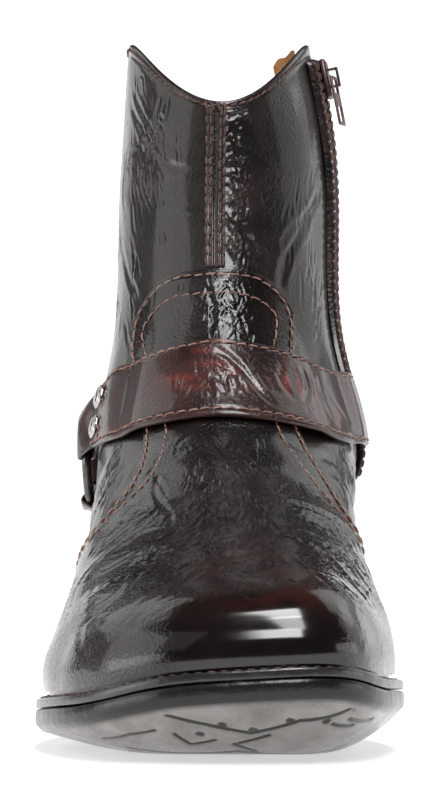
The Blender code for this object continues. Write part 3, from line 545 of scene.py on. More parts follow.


# "light" and "lines": the colour and strength of the painted highlight lines along the scratches
shaftLook = {"dark": (0.0045, 0.0038, 0.0038), "second": (0.010, 0.0065, 0.006), "warm": (0.10, 0.022, 0.016),
             "light": (0.10, 0.085, 0.08), "lines": 0.10, "stretch": (1.0, 1.0, 0.55), "crinkle": 70.0,
             "crinkleHeight": 0.00045, "scratchHeight": 0.0008, "grain": 900.0, "grainHeight": 0.00018,
             "rough": (0.26, 0.40), "coat": 0.50, "coatRough": 0.11, "specular": 0.28}
# the vamp and the strap paint stronger pale highlight lines through their "light" and "lines"
vampLook = dict(shaftLook, second=(0.009, 0.0052, 0.005), warm=(0.10, 0.020, 0.015),
                light=(0.20, 0.175, 0.165), lines=0.55, stretch=(0.75, 1.0, 1.5), crinkle=105.0,
                crinkleHeight=0.0008, scratchHeight=0.0011, rough=(0.18, 0.30))
strapLook = dict(shaftLook, dark=(0.012, 0.0055, 0.005), second=(0.036, 0.011, 0.009),
                 warm=(0.60, 0.050, 0.045), light=(0.24, 0.185, 0.175), lines=0.45,
                 stretch=(1.0, 1.0, 0.9), crinkle=95.0, crinkleHeight=0.0008)
shaftLeather = leatherMaterial("shaftLeather", shaftLook)
vampLeather = leatherMaterial("vampLeather", vampLook)
strapLeather = leatherMaterial("strapLeather", strapLook)
seamLeather = leatherMaterial("seamLeather", dict(shaftLook, second=(0.018, 0.008, 0.007),
                                                  crinkleHeight=0.0003))
liningLeather = plainMaterial("liningLeather", (0.42, 0.20, 0.075), 0.75, bump=(900.0, 0.0002),
                              spots=(0.30, 0.13, 0.05))
insoleLeather = plainMaterial("insoleLeather", (0.40, 0.22, 0.11), 0.7, bump=(700.0, 0.0002))
threadPink = plainMaterial("threadPink", (0.32, 0.19, 0.155), 0.7, bump=(2500.0, 0.0002),
                           spots=(0.12, 0.050, 0.038))
threadDark = plainMaterial("threadDark", (0.095, 0.050, 0.042), 0.65, bump=(2500.0, 0.0002),
                           spots=(0.040, 0.018, 0.016))
weltFinish = plainMaterial("weltFinish", (0.010, 0.0095, 0.0095), 0.30, bump=(260.0, 0.0003), coat=0.3)
rubberFinish = plainMaterial("rubberFinish", (0.012, 0.0115, 0.012), 0.40, bump=(300.0, 0.0002),
                             spots=(0.02, 0.019, 0.018))
soleFinish, soleTree, soleShader = newMaterial("soleFinish")
soleWhere = node(soleTree, "ShaderNodeTexCoord").outputs["Object"]
soleClouds = noiseOf(soleTree, soleWhere, 90.0, 5.0, 0.6, 0.3)
underShare = painted(soleTree, "under")
# the groove attribute marks the tread's grooves, which are painted near black as painted shade
grooveShadeShare = painted(soleTree, "grooveAndShade")
soleColours = {"pale": (0.21, 0.20, 0.19), "grey": (0.13, 0.122, 0.115), "edge": (0.009, 0.0085, 0.0085),
               "grooveAndShade": (0.007, 0.007, 0.007)}
soleCloudShare = ramped(soleTree, soleClouds, 0.35, 0.65)
underColour = mixed(soleTree, soleCloudShare, soleColours["pale"], soleColours["grey"])
soleColour = mixed(soleTree, underShare, soleColours["edge"], underColour)
# painted shade: near-black colour where the tread's grooves are deep
grooveShadedColour = mixed(soleTree, ramped(soleTree, grooveShadeShare, 0.35, 0.70), soleColour, soleColours["grooveAndShade"])
soleTree.links.new(grooveShadedColour, soleShader.inputs["Base Color"])
soleTree.links.new(ramped(soleTree, soleClouds, 0.3, 0.7, 0.18, 0.30), soleShader.inputs["Roughness"])
soleShader.inputs["Specular IOR Level"].default_value = 0.35
soleTree.links.new(bumped(soleTree, noiseOf(soleTree, soleWhere, 300.0), 0.0002), soleShader.inputs["Normal"])
heelFinish = plainMaterial("heelFinish", (0.012, 0.009, 0.008), 0.38, bump=(180.0, 0.0003), coat=0.25)
tapeCloth = plainMaterial("tapeCloth", (0.030, 0.018, 0.018), 0.85, bump=(2200.0, 0.0004))
zipMetal = plainMaterial("zipMetal", (0.11, 0.075, 0.070), 0.34, 0.9, bump=(500.0, 0.0001))
pullMetal = plainMaterial("pullMetal", (0.20, 0.13, 0.125), 0.42, 0.75, bump=(500.0, 0.0001))
nickel = plainMaterial("nickel", (0.50, 0.49, 0.48), 0.24, 1.0, spots=(0.38, 0.36, 0.35))
darkNickel = plainMaterial("darkNickel", (0.13, 0.125, 0.12), 0.28, 1.0, spots=(0.07, 0.065, 0.06))
print("materials made")


# the upper
shaftCreases = creaseRows([
    (0.55, 1.3, 109.5, 0.933, 123.1, 0.904, 139.1, 0.871, 150.9, 0.842, 165.0, 0.838),
    (0.4, 1.0, 113.8, 0.95, 127.9, 0.917, 142.9, 0.883, 147.0, 0.858),
    (0.45, 1.2, 139.1, 0.862, 129.5, 0.825, 134.4, 0.787, 141.1, 0.76),
    (0.4, 1.0, 143.3, 0.963, 139.9, 0.912, 153.7, 0.879),
    (0.45, 1.2, 146.8, 0.985, 145.6, 0.933, 138.2, 0.887),
    (0.3, 0.8, 148.6, 0.754, 161.4, 0.758, 170.9, 0.754),
    (0.5, 1.1, 183.5, 0.946, 190.5, 0.908, 197.4, 0.862),
    (0.35, 0.9, 182.0, 0.905, 188.0, 0.875, 195.0, 0.85),
    (0.55, 1.2, 181.3, 0.742, 189.8, 0.725, 199.0, 0.721),
    (0.5, 1.2, 181.3, 0.708, 189.2, 0.683, 200.1, 0.675),
    (0.45, 1.0, 187.1, 0.742, 195.0, 0.708, 202.6, 0.668),
    (0.6, 1.8, 243.4, 0.808, 226.5, 0.746, 213.4, 0.679, 211.3, 0.633),
    (0.4, 1.2, 236.3, 0.783, 218.8, 0.738, 210.5, 0.7),
    (0.35, 0.9, 182.7, 0.775, 189.8, 0.762, 195.0, 0.767),
    (0.45, 1.4, 107.7, 0.733, 121.6, 0.671, 133.4, 0.629),
    (0.4, 1.2, 114.6, 0.867, 108.6, 0.812, 119.4, 0.754),
    (0.55, 1.5, 122.4, 0.279, 133.8, 0.342, 139.9, 0.375),
    (0.5, 1.4, 112.0, 0.3, 126.0, 0.345, 136.4, 0.385),
    (0.6, 1.5, 213.0, 0.392, 225.0, 0.379, 239.1, 0.321),
    (0.45, 1.2, 215.9, 0.372, 224.5, 0.35, 236.3, 0.304),
    (0.5, 1.6, 225.0, 0.392, 240.0, 0.372, 254.0, 0.33),
    (0.45, 1.8, 96.0, 0.25, 108.0, 0.262, 120.0, 0.248),
    (0.5, 2.2, 60.0, 0.38, 80.0, 0.46, 100.0, 0.52),
    (0.5, 2.6, 20.0, 0.5, 45.0, 0.52, 70.0, 0.54),
    (0.5, 2.6, 290.0, 0.54, 315.0, 0.52, 340.0, 0.5),
    (0.5, 2.0, 240.0, 0.3, 258.0, 0.27, 275.0, 0.262),
])
# turn and rise of the middle and their spreads, slant, its jitter, count, length, depth and width in mm
shaftFields = [
    (133.0, 0.86, 10.0, 0.05, -55.0, 35.0, 46, 9.0, 0.16, 0.6),
    (190.0, 0.84, 5.0, 0.09, -25.0, 25.0, 46, 8.0, 0.2, 0.6),
    (118.0, 0.66, 12.0, 0.06, -60.0, 25.0, 20, 12.0, 0.18, 0.8),
    (228.0, 0.7, 10.0, 0.08, 60.0, 22.0, 22, 12.0, 0.16, 0.8),
    (128.0, 0.33, 10.0, 0.04, 60.0, 18.0, 24, 12.0, 0.2, 0.7),
    (230.0, 0.34, 9.0, 0.04, -58.0, 18.0, 24, 14.0, 0.2, 0.7),
    (40.0, 0.7, 30.0, 0.12, 70.0, 40.0, 26, 14.0, 0.16, 0.9),
    (320.0, 0.7, 30.0, 0.12, 110.0, 40.0, 26, 14.0, 0.16, 0.9),
]
shaftCreases += creaseFields(shaftFields, 1.6, 1.3, 0.8, 11)


def underStrap(turn, rise):
    # 1 where the instep strap or the heel strap covers the leather
    turn = np.asarray(turn) % 360.0
    cover = np.zeros(np.broadcast(turn, rise).shape)
    for table, shift in ((instepStrap, 0.0), (heelStrap, 360.0), (heelStrap, 0.0)):
        edges = splineThrough(table[:, 0] + shift, table[:, 1:])
        low, high = np.moveaxis(edges(np.clip(turn, table[0, 0] + shift, table[-1, 0] + shift)), -1, 0)
        inside = softStep((turn - table[0, 0] - shift) / 4.0 + 0.5)
        inside = inside * softStep((table[-1, 0] + shift - turn) / 4.0 + 0.5)
        cover = np.maximum(cover, inside * softStep((rise - low) / 0.01 + 0.2)
                           * softStep((high - rise) / 0.01 + 0.2))
    return cover


def leatherRelief(points, turn, rise, creases, seed):
    # creases and slow swells; pressed flat, and in by 0.2 mm, where a strap lies on them
    relief = creaseRelief(points, creases) + softWaves(points, 0.00022, seed)
    return relief - underStrap(turn, rise) * (np.maximum(relief, 0.0) + 0.0002)


upperGrid = {"places": 440, "rises": 180, "fineFrom": 0.965, "fineSpan": 0.035, "fineRows": 17,
             "grooveAt": 0.0020, "grooveWide": 0.0007, "grooveDeep": 0.00022, "rollRows": 9}
insideGrid = {"rows": 6, "from": 0.995, "to": 0.955}
places = np.arange(upperGrid["places"])[:, None] / upperGrid["places"]
fineRises = upperGrid["fineSpan"] * np.linspace(0.0, 1.0, upperGrid["fineRows"])[1:]
rises = np.concatenate([np.linspace(0.0, upperGrid["fineFrom"], upperGrid["rises"]),
                        upperGrid["fineFrom"] + fineRises])[None, :]
turns = turnAt(places)[..., 0] + 360.0 * places
base = bootSurface(places, rises)
relief = leatherRelief(base, turns + 0.0 * rises, rises + 0.0 * turns, shaftCreases, 3)
relief *= softStep((0.995 - rises) / 0.03)
collarDrop = (1.0 - rises) * foot["height"]
fromGroove = (collarDrop - upperGrid["grooveAt"]) / upperGrid["grooveWide"]
relief -= upperGrid["grooveDeep"] * np.exp(-fromGroove ** 2)
outer = base + bootNormal(places, rises) * relief[..., None]
edgePlace, edgeRise = places[:, 0], np.ones(upperGrid["places"])
upWay = unit(bootSurface(edgePlace, edgeRise) - bootSurface(edgePlace, edgeRise - 0.01))
outWay = bootNormal(edgePlace, edgeRise)
angles = np.linspace(0.0, math.pi, upperGrid["rollRows"])[1:]
edgeMiddle = bootSurface(edgePlace, edgeRise) - 0.5 * foot["wall"] * outWay
roll = edgeMiddle[:, None] + 0.5 * foot["wall"] * (outWay[:, None] * np.cos(angles)[:, None]
                                                   + upWay[:, None] * np.sin(angles)[:, None])
insideRises = np.linspace(insideGrid["from"], insideGrid["to"], insideGrid["rows"])[None, :]
insideFace = lifted(places, insideRises, -foot["wall"])
upperPoints = np.concatenate([outer, roll, insideFace], axis=1)
turnGrid = turns + 0.0 * rises
riseGrid = rises + 0.0 * turns
upperRubs = [(178.0, 1.00, 9.0, 0.022, 1.00), (150.0, 1.00, 60.0, 0.006, 0.35),
             (135.0, 0.85, 18.0, 0.080, 0.30), (190.0, 0.80, 10.0, 0.100, 0.25)]
upperRub = softSpots(turnGrid, riseGrid, upperRubs)
moreRows = upperPoints.shape[1] - upperRub.shape[1]
upperRub = np.concatenate([upperRub, np.repeat(upperRub[:, -1:], moreRows, axis=1)], axis=1)
gridPiece("upperLeather", upperPoints, shaftLeather, roundFirst=True,
          fields={"rub": np.clip(upperRub, 0.0, 1.0)}, slot="shaft_leather", stands=("upper",))
liningGrid = {"places": 220, "rises": 90, "top": 0.985, "away": 0.0002}
liningPlaces = np.arange(liningGrid["places"])[:, None] / liningGrid["places"]
liningRises = np.linspace(liningGrid["top"], 0.0, liningGrid["rises"])[None, :]
liningPoints = lifted(liningPlaces, liningRises, -foot["wall"] - liningGrid["away"])
gridPiece("lining", liningPoints, liningLeather, roundFirst=True, slot="insole_leather")
print("upper made")


# the vamp
vampCreases = creaseRows([
    (0.75, 1.9, 179.9, 0.279, 193.2, 0.267, 201.1, 0.237, 205.9, 0.171, 209.5, 0.118),
    (0.8, 1.9, 186.3, 0.321, 195.6, 0.325, 206.7, 0.308, 218.0, 0.275, 223.5, 0.222),
    (0.55, 1.3, 187.8, 0.304, 200.1, 0.3, 211.3, 0.271, 217.5, 0.225),
    (0.6, 1.5, 181.3, 0.283, 193.8, 0.284, 205.6, 0.256, 212.0, 0.205),
    (0.55, 1.4, 189.8, 0.233, 193.5, 0.19, 196.8, 0.139),
    (0.6, 1.4, 197.9, 0.283, 208.1, 0.25, 213.0, 0.19, 213.3, 0.13),
    (0.7, 1.8, 154.0, 0.06, 151.8, 0.1, 152.1, 0.133, 155.7, 0.167, 160.0, 0.233, 164.3, 0.271),
    (0.65, 1.6, 146.6, 0.12, 144.9, 0.2, 149.7, 0.255, 155.1, 0.293),
    (0.5, 1.1, 155.7, 0.222, 159.6, 0.258, 165.3, 0.289),
    (0.6, 1.5, 163.0, 0.138, 168.0, 0.183, 173.2, 0.217, 180.7, 0.225),
    (0.5, 1.1, 168.3, 0.267, 178.7, 0.286, 188.1, 0.283),
    (0.45, 1.1, 164.3, 0.29, 175.6, 0.3, 187.1, 0.3),
    (0.6, 1.2, 158.3, 0.371, 157.7, 0.342, 162.8, 0.312, 162.8, 0.287),
    (0.4, 0.8, 161.4, 0.4, 167.7, 0.421, 177.0, 0.427),
    (0.45, 1.0, 154.3, 0.375, 159.2, 0.35, 161.4, 0.333),
    (0.35, 0.7, 177.0, 0.354, 184.2, 0.371, 191.9, 0.379),
    (0.5, 1.2, 151.4, 0.275, 157.6, 0.312, 162.4, 0.333),
    (0.5, 1.2, 144.4, 0.25, 151.4, 0.295, 156.8, 0.325),
    (0.5, 1.2, 169.0, 0.237, 177.0, 0.254, 186.6, 0.25),
    (0.45, 1.3, 172.0, 0.64, 176.0, 0.6, 175.0, 0.56),
    (0.4, 0.9, 178.0, 0.62, 184.0, 0.6, 190.0, 0.606),
    (0.35, 0.8, 179.0, 0.59, 186.0, 0.575, 194.0, 0.582),
], 0.60, 0.72)
vampCreaseFields = [
    (160.0, 0.25, 7.0, 0.05, 52.0, 14.0, 60, 13.0, 0.26, 0.7),
    (205.0, 0.24, 7.0, 0.05, -48.0, 14.0, 60, 14.0, 0.26, 0.7),
    (182.0, 0.27, 8.0, 0.04, 5.0, 30.0, 50, 8.0, 0.22, 0.6),
    (178.0, 0.38, 9.0, 0.03, 20.0, 35.0, 44, 6.0, 0.2, 0.55),
    (182.0, 0.59, 8.0, 0.03, -10.0, 45.0, 40, 5.0, 0.22, 0.5),
    (146.0, 0.14, 9.0, 0.04, 68.0, 14.0, 36, 12.0, 0.18, 0.8),
    (218.0, 0.17, 8.0, 0.04, -66.0, 14.0, 36, 12.0, 0.18, 0.8),
]
vampCreases += creaseFields(vampCreaseFields, 1.7, 1.0, 0.8, 31)
vampEdgeAt = splineThrough(vampEdge[:, 0], vampEdge[:, 1:])
vampFoot = 0.012
edgeStops = np.array([0.0, 0.00025, 0.0005, 0.0008, 0.0012, 0.0016, 0.0020, 0.0024, 0.0030, 0.0038])


def vampRise(across, up):
    # from the foot line to the top, which drops to its sides by the fourth power of the way across
    return vampFoot + (vampTop["rise"] - vampTop["drop"] * across ** 4 - vampFoot) * up


def edgeRound(distance, thick, width=0.0008):
    # a quarter-round edge: thick times the root of 1 - (1 - d/width)^2
    inward = 1.0 - np.clip(distance / width, 0.0, 1.0)
    return thick * np.sqrt(np.clip(1.0 - inward * inward, 0.0, 1.0))


vampGrid = {"across": 216, "up": 195, "tall": 0.150, "rowIn": 0.0019, "rowFar": 0.0085, "rowFarLow": 0.0050,
            "lift": 0.0006, "sink": 0.0003, "grooveWide": 0.0006, "grooveDeep": 0.00022}
ups = np.concatenate([np.linspace(0.0, 1.0 - 0.0045 / vampGrid["tall"], vampGrid["up"]),
                      1.0 - edgeStops[::-1] / vampGrid["tall"]])[None, :]
halfWide = []
for up in ups[0]:
    rise = vampRise(0.0, up)
    outerTurn, innerTurn = vampEdgeAt(rise)
    line = bootSurface(placeAt(np.linspace(outerTurn, innerTurn, 60)), rise)
    halfWide.append(0.5 * pathLength(line))
halfWide = np.array(halfWide)[None, :]
side = edgeStops[:, None] / halfWide
middle = np.linspace(-1.0, 1.0, vampGrid["across"])[:, None] * (1.0 - 0.0046 / halfWide)
across = np.concatenate([-1.0 + side, middle, 1.0 - side[::-1]])
vampRises = vampRise(across, ups)
outerTurn, innerTurn = np.moveaxis(vampEdgeAt(vampRises), -1, 0)
vampTurns = outerTurn + (innerTurn - outerTurn) * (across + 1.0) / 2.0
vampPlaces = placeAt(vampTurns)
fromSide = (1.0 - np.abs(across)) * halfWide
fromTop = (1.0 - ups) * vampGrid["tall"] + 0.0 * across
fromEdge = np.minimum(fromSide, fromTop)
base = bootSurface(vampPlaces, vampRises)
relief = leatherRelief(base, vampTurns, vampRises, shaftCreases, 3) * 0.35
toeBox = 1.0 - softStep((0.135 - vampRises) / 0.05) * softStep((np.abs(vampTurns - 180.0) - 24.0) / -10.0)
relief += leatherRelief(base, vampTurns, vampRises, vampCreases, 5) * (0.08 + 0.92 * toeBox)
relief *= softStep(fromEdge / 0.004) * 0.8 + 0.2
lift = edgeRound(fromEdge, overlayThick + vampGrid["lift"]) - vampGrid["sink"]
lift -= vampGrid["grooveDeep"] * np.exp(-((fromEdge - vampGrid["rowIn"]) / vampGrid["grooveWide"]) ** 2)
vampPoints = base + bootNormal(vampPlaces, vampRises) * (relief + lift)[..., None]
vampRubs = [(184.0, 0.190, 16.0, 0.060, 0.75), (184.0, 0.128, 9.0, 0.020, 0.90),
            (178.0, 0.360, 8.0, 0.050, 0.20)]
vampRub = softSpots(vampTurns, vampRises, vampRubs) + 0.25 * np.exp(-(fromEdge / 0.0006) ** 2)
vampPolish = softStep((0.150 - vampRises) / 0.030) * softStep((16.5 - np.abs(vampTurns - 181.0)) / 5.0)
vampFields = {"rub": np.clip(vampRub, 0.0, 1.0), "polish": vampPolish}
gridPiece("vampLeather", vampPoints, vampLeather, fields=vampFields, slot="vamp_leather", stands=("vamp",))

outline = 260
outlineAcross = np.concatenate([-np.ones(outline), np.linspace(-1.0, 1.0, outline), np.ones(outline)])
outlineUp = np.concatenate([np.linspace(0.05, 1.0, outline), np.ones(outline),
                            np.linspace(1.0, 0.05, outline)])
outlineRise = vampRise(outlineAcross, outlineUp)
ends = vampEdgeAt(outlineRise)
outlineTurn = ends[:, 0] + (ends[:, 1] - ends[:, 0]) * (outlineAcross + 1.0) / 2.0


def evenLine(turn, rise, count, soften=0):
    # a line of turns and rises at even lengths, its corners softened by a running mean
    place = placeAt(turn)
    points = bootSurface(place, rise)
    lengths = np.concatenate([[0.0], np.cumsum(np.linalg.norm(np.diff(points, axis=0), axis=1))])
    wanted = np.linspace(0.0, lengths[-1], count)
    place, rise = np.interp(wanted, lengths, place), np.interp(wanted, lengths, rise)
    if soften:
        window = np.ones(2 * soften + 1) / (2 * soften + 1)
        place = np.convolve(np.pad(place, soften, mode="edge"), window, mode="valid")
        rise = np.convolve(np.pad(rise, soften, mode="edge"), window, mode="valid")
    return place, rise


def raisedRow(place, rise, lift, style):
    # a line at a height over the boot, with its normals and its stitch
    return lifted(place, rise, lift), bootNormal(place, rise), style


vampStitch = {"pitch": 0.0040, "length": 0.0035, "radius": 0.00032, "slant": 0.00015}
edgePlaceLine, edgeRiseLine = evenLine(outlineTurn, outlineRise, 600, 9)
near = movedIn(edgePlaceLine, edgeRiseLine, np.full(len(edgeRiseLine), vampGrid["rowIn"]))
lowShare = softStep((0.45 - edgeRiseLine) / 0.3)
farIn = vampGrid["rowFar"] + (vampGrid["rowFarLow"] - vampGrid["rowFar"]) * lowShare
far = movedIn(edgePlaceLine, edgeRiseLine, farIn)
rowLift = overlayThick + 0.0003
vampRows = [raisedRow(near[0], near[1], rowLift, vampStitch), raisedRow(far[0], far[1], rowLift, vampStitch)]
threadPiece("vampStitches", vampRows, threadPink, "vamp_leather")
print("vamp made")


# strips up the boot: seams, zip facings and tape
def stripLine(line, low, high, count):
    # even rises along a line up the boot, with the turn at each and the degrees in a metre there
    rise = np.linspace(low, high, count)
    turn = np.interp(rise, line[:, 0], line[:, 1])
    perMetre = np.array([degreesPerMetre(t, r) for t, r in zip(turn, rise)])
    return turn, rise, perMetre


def stripPiece(name, line, shift, width, low, high, lift, thick, material, slotName, stands, rows=170,
               domed=0.0, hollow=(), rub=0.0):
    # a strip with round edges that dip into the leather below, domed by cos of the way across
    turn, rise, perMetre = stripLine(line, low, high, rows)
    edge = np.array([0.0, 0.0002, 0.0004, 0.0007, 0.0010, 0.0014])
    xs = np.concatenate([-0.5 * width + edge, np.linspace(-0.5 * width + 0.0019, 0.5 * width - 0.0019, 9),
                         0.5 * width - edge[::-1]])
    turns2 = turn[None, :] + perMetre[None, :] * (shift + xs[:, None])
    rises2 = rise[None, :] + 0.0 * turns2
    fromSide = 0.5 * width - np.abs(xs[:, None]) + 0.0 * turns2
    total = (rise - low) * foot["height"], (high - rise) * foot["height"]
    fromEnd = np.minimum(total[0], total[1])[None, :] + 0.0 * turns2
    height = edgeRound(np.minimum(fromSide, fromEnd), thick + 0.0004, 0.0009) - 0.0004
    height = height + lift + domed * np.cos(math.pi * xs[:, None] / width) * softStep(fromEnd / 0.003)
    for place, deep in hollow:
        height = height - deep * np.exp(-((xs[:, None] - place) / 0.0005) ** 2)
    place2 = placeAt(turns2)
    points = lifted(place2, rises2, height)
    points = points + bootNormal(place2, rises2) * (softWaves(points, 0.00010, 9))[..., None]
    return gridPiece(name, points, material, fields={"rub": np.full(points.shape[:2], rub)}, slot=slotName,
                     stands=stands)


def stripRow(line, shift, low, high, lift, style):
    # a row beside a line up the boot: its turn plus shift times the degrees in a metre
    turn, rise, perMetre = stripLine(line, low, high, 200)
    place = placeAt(turn + perMetre * shift)
    return raisedRow(place, rise, lift, style)


seamLook = {"width": 0.0068, "thick": 0.0007, "top": 0.994,
            "hollow": ((-0.0019, 0.0003), (0.0019, 0.0003), (0.0, 0.0005))}
for name, stand, line, low in (("frontSeamStrip", "front_seam_strip", frontSeamLine, 0.664),
                               ("backSeamStrip", "back_seam_strip", backSeamLine, 0.02)):
    stripPiece(name, line, 0.0, seamLook["width"], low, seamLook["top"], 0.0, seamLook["thick"], seamLeather,
               "shaft_leather", (stand,), hollow=seamLook["hollow"], rub=0.10)
seamStitch = {"pitch": 0.0034, "length": 0.0034, "radius": 0.00050, "slant": 0.00045}
seamRows = []
for line, low in ((frontSeamLine, 0.668), (backSeamLine, 0.03)):
    for shift, way in ((-0.0028, 0.4), (-0.0015, -0.2), (0.0015, 0.2), (0.0028, -0.4)):
        stitch = dict(seamStitch, slant=way * seamStitch["slant"])
        seamRows.append(stripRow(line, shift, low, 0.992, seamLook["thick"], stitch))
collarTurn = np.linspace(-84.0, 236.0, 700)
collarRise = 1.0 - 0.0010 * np.array([risePerMetre(t, 0.985) for t in collarTurn])
collarStitch = {"pitch": 0.0032, "length": 0.0028, "radius": 0.00040, "slant": 0.0002}
seamRows.append(raisedRow(placeAt(collarTurn), collarRise, 0.0001, collarStitch))
knot = {"pitch": 0.0016, "length": 0.0042, "radius": 0.00055, "slant": 0.0006}
for shift in (-0.0030, -0.0010, 0.0010, 0.0030):
    seamRows.append(stripRow(frontSeamLine, shift, 0.978, 0.999, 0.0010, knot))
threadPiece("seamStitches", seamRows, threadDark, "shaft_leather")

zipLook = {"foot": 0.33, "top": 0.985, "facing": 0.0075, "teeth": 0.0046, "tape": 0.0120}
facingAway = 0.5 * zipLook["teeth"] + 3.0 * gap + 0.5 * zipLook["facing"]
stripPiece("zipTape", zipLine, 0.0, zipLook["tape"], zipLook["foot"], zipLook["top"], 0.0002, 0.0008, tapeCloth,
           "zip_tape", ("zip_tape",))
for name, stand, shift in (("zipFacingFront", "zip_facing_front", -facingAway),
                           ("zipFacingBack", "zip_facing_back", facingAway)):
    stripPiece(name, zipLine, shift, zipLook["facing"], zipLook["foot"], zipLook["top"], 0.0006, 0.0016,
               seamLeather, "shaft_leather", (stand,), domed=0.0003, rub=0.06)
zipStitch = dict(seamStitch, slant=0.0001)
zipShifts = (-facingAway - 0.0024, -facingAway + 0.0014, facingAway - 0.0014, facingAway + 0.0024)
zipRows = [stripRow(zipLine, shift, 0.34, 0.98, 0.0025, zipStitch) for shift in zipShifts]
threadPiece("zipStitches", zipRows, threadDark, "shaft_leather")

# zip teeth: little rounded blocks in two rows that mesh in the middle
toothLook = {"pitch": 0.00175, "long": 0.0024, "wide": 0.00105, "high": 0.0020, "lift": 0.0020, "apart": 0.0008}
turn, rise, perMetre = stripLine(zipLine, zipLook["foot"] + 0.012, 0.975, 400)
toothPath = lifted(placeAt(turn), rise, toothLook["lift"])
toothOut = bootNormal(placeAt(turn), rise)
count = int(pathLength(toothPath) / toothLook["pitch"])
wanted = (np.arange(2 * count) + 0.5) * pathLength(toothPath) / (2 * count)
middleAt, outAt = along(toothPath, toothPath, wanted), unit(along(toothPath, toothOut, wanted))
wayAt = unit(along(toothPath, toothPath, wanted + 0.0003) - along(toothPath, toothPath, wanted - 0.0003))
sideAt = unit(np.cross(outAt, wayAt))
shiftAt = np.where(np.arange(2 * count) % 2, 1.0, -1.0)[:, None] * toothLook["apart"]
square = ((-1, -1), (1, -1), (1, 1), (-1, 1))
corners = np.array([(x, y, z) for z in (-1.0, 0.55, 1.0) for x, y in square], float)
corners[8:, :2] *= 0.62
corners *= np.array([0.5 * toothLook["long"], 0.5 * toothLook["wide"], 0.5 * toothLook["high"]])
middleAt = middleAt + sideAt * shiftAt
toothPoints = (middleAt[:, None] + corners[:, :1] * sideAt[:, None] + corners[:, 1:2] * wayAt[:, None]
               + corners[:, 2:] * outAt[:, None])
blockFaces = [[3, 2, 1, 0], [8, 9, 10, 11]]
for k in range(4):
    n = (k + 1) % 4
    blockFaces += [[k, n, n + 4, k + 4], [k + 4, n + 4, n + 8, k + 8]]
toothFaces = (np.array(blockFaces)[None] + (12 * np.arange(2 * count))[:, None, None]).reshape(-1, 4)
teeth = meshPiece("zipTeeth", toothPoints.reshape(-1, 3), [toothFaces], zipMetal, slot="zip_metal",
                  stands=("zip_teeth",))
teeth.data.set_sharp_from_angle(angle=0.5)
print("seams and zip made")


# the zip guard's end that stands over the collar: suede on leather
guardLook = {"turn": 225.0, "span": 21.0, "foot": 0.93, "arch": 0.011, "wave": 0.003, "inside": -0.0034,
             "lean": 0.0022, "stretch": 0.24}
guardAcross = np.linspace(0.0, 1.0, 26)[:, None]
guardUp = np.linspace(0.0, 1.0, 22)[None, :]
guardTurn = guardLook["turn"] + guardLook["span"] * guardAcross
guardTop = 1.0 + guardLook["arch"] * np.sin(math.pi * np.clip(0.35 + 0.6 * guardAcross, 0.0, 1.0))
guardTop = guardTop + guardLook["wave"] * np.sin(9.0 * guardAcross)
guardRise = guardLook["foot"] + (guardTop - guardLook["foot"]) * guardUp
guardLift = guardLook["inside"] - guardLook["lean"] * guardUp ** 2 * (1.0 - guardAcross)
guard = lifted(placeAt(guardTurn), np.minimum(guardRise, 1.0), guardLift)
guard[..., 2] += np.maximum(guardRise - 1.0, 0.0) * guardLook["stretch"]
gridPiece("zipGuard", guard, liningLeather, slot="insole_leather")
print("zip guard made")


# straps with thickness
def strapSection(halfWide, thick, stops):
    # a closed section: share across, share of thickness up; top, edge, underside, edge
    top = np.concatenate([-1.0 + stops / halfWide,
                          np.linspace(-1.0 + 0.0055 / halfWide, 1.0 - 0.0055 / halfWide, 17),
                          1.0 - stops[::-1] / halfWide])
    arc = np.linspace(0.0, math.pi, 8)[1:-1]
    swell = 0.5 * thick / halfWide
    inner = 1.0 - swell
    x = np.concatenate([top * inner, inner + swell * np.sin(arc), np.linspace(inner, -inner, 7),
                        -inner - swell * np.sin(arc)])
    h = np.concatenate([np.ones(len(top)), 0.5 + 0.5 * np.cos(arc), np.zeros(7), 0.5 - 0.5 * np.cos(arc)])
    return x, h


strapStops = np.array([0.0, 0.0006, 0.0011, 0.0015, 0.0019, 0.0024, 0.0032, 0.0042])
strapEdge = {"rowIn": 0.0021, "grooveWide": 0.0005, "grooveDeep": 0.00025, "closing": [0.0, 0.6, 0.9]}


def closedEnds(count):
    # share of the thickness along a strap, drawn in at both ends
    return np.concatenate([strapEdge["closing"], np.ones(count), strapEdge["closing"][::-1]])


def stitchGroove(fromEdge):
    # the dent of a stitch row: deep e^-(d/wide)^2
    return strapEdge["grooveDeep"] * np.exp(-((fromEdge - strapEdge["rowIn"]) / strapEdge["grooveWide"]) ** 2)


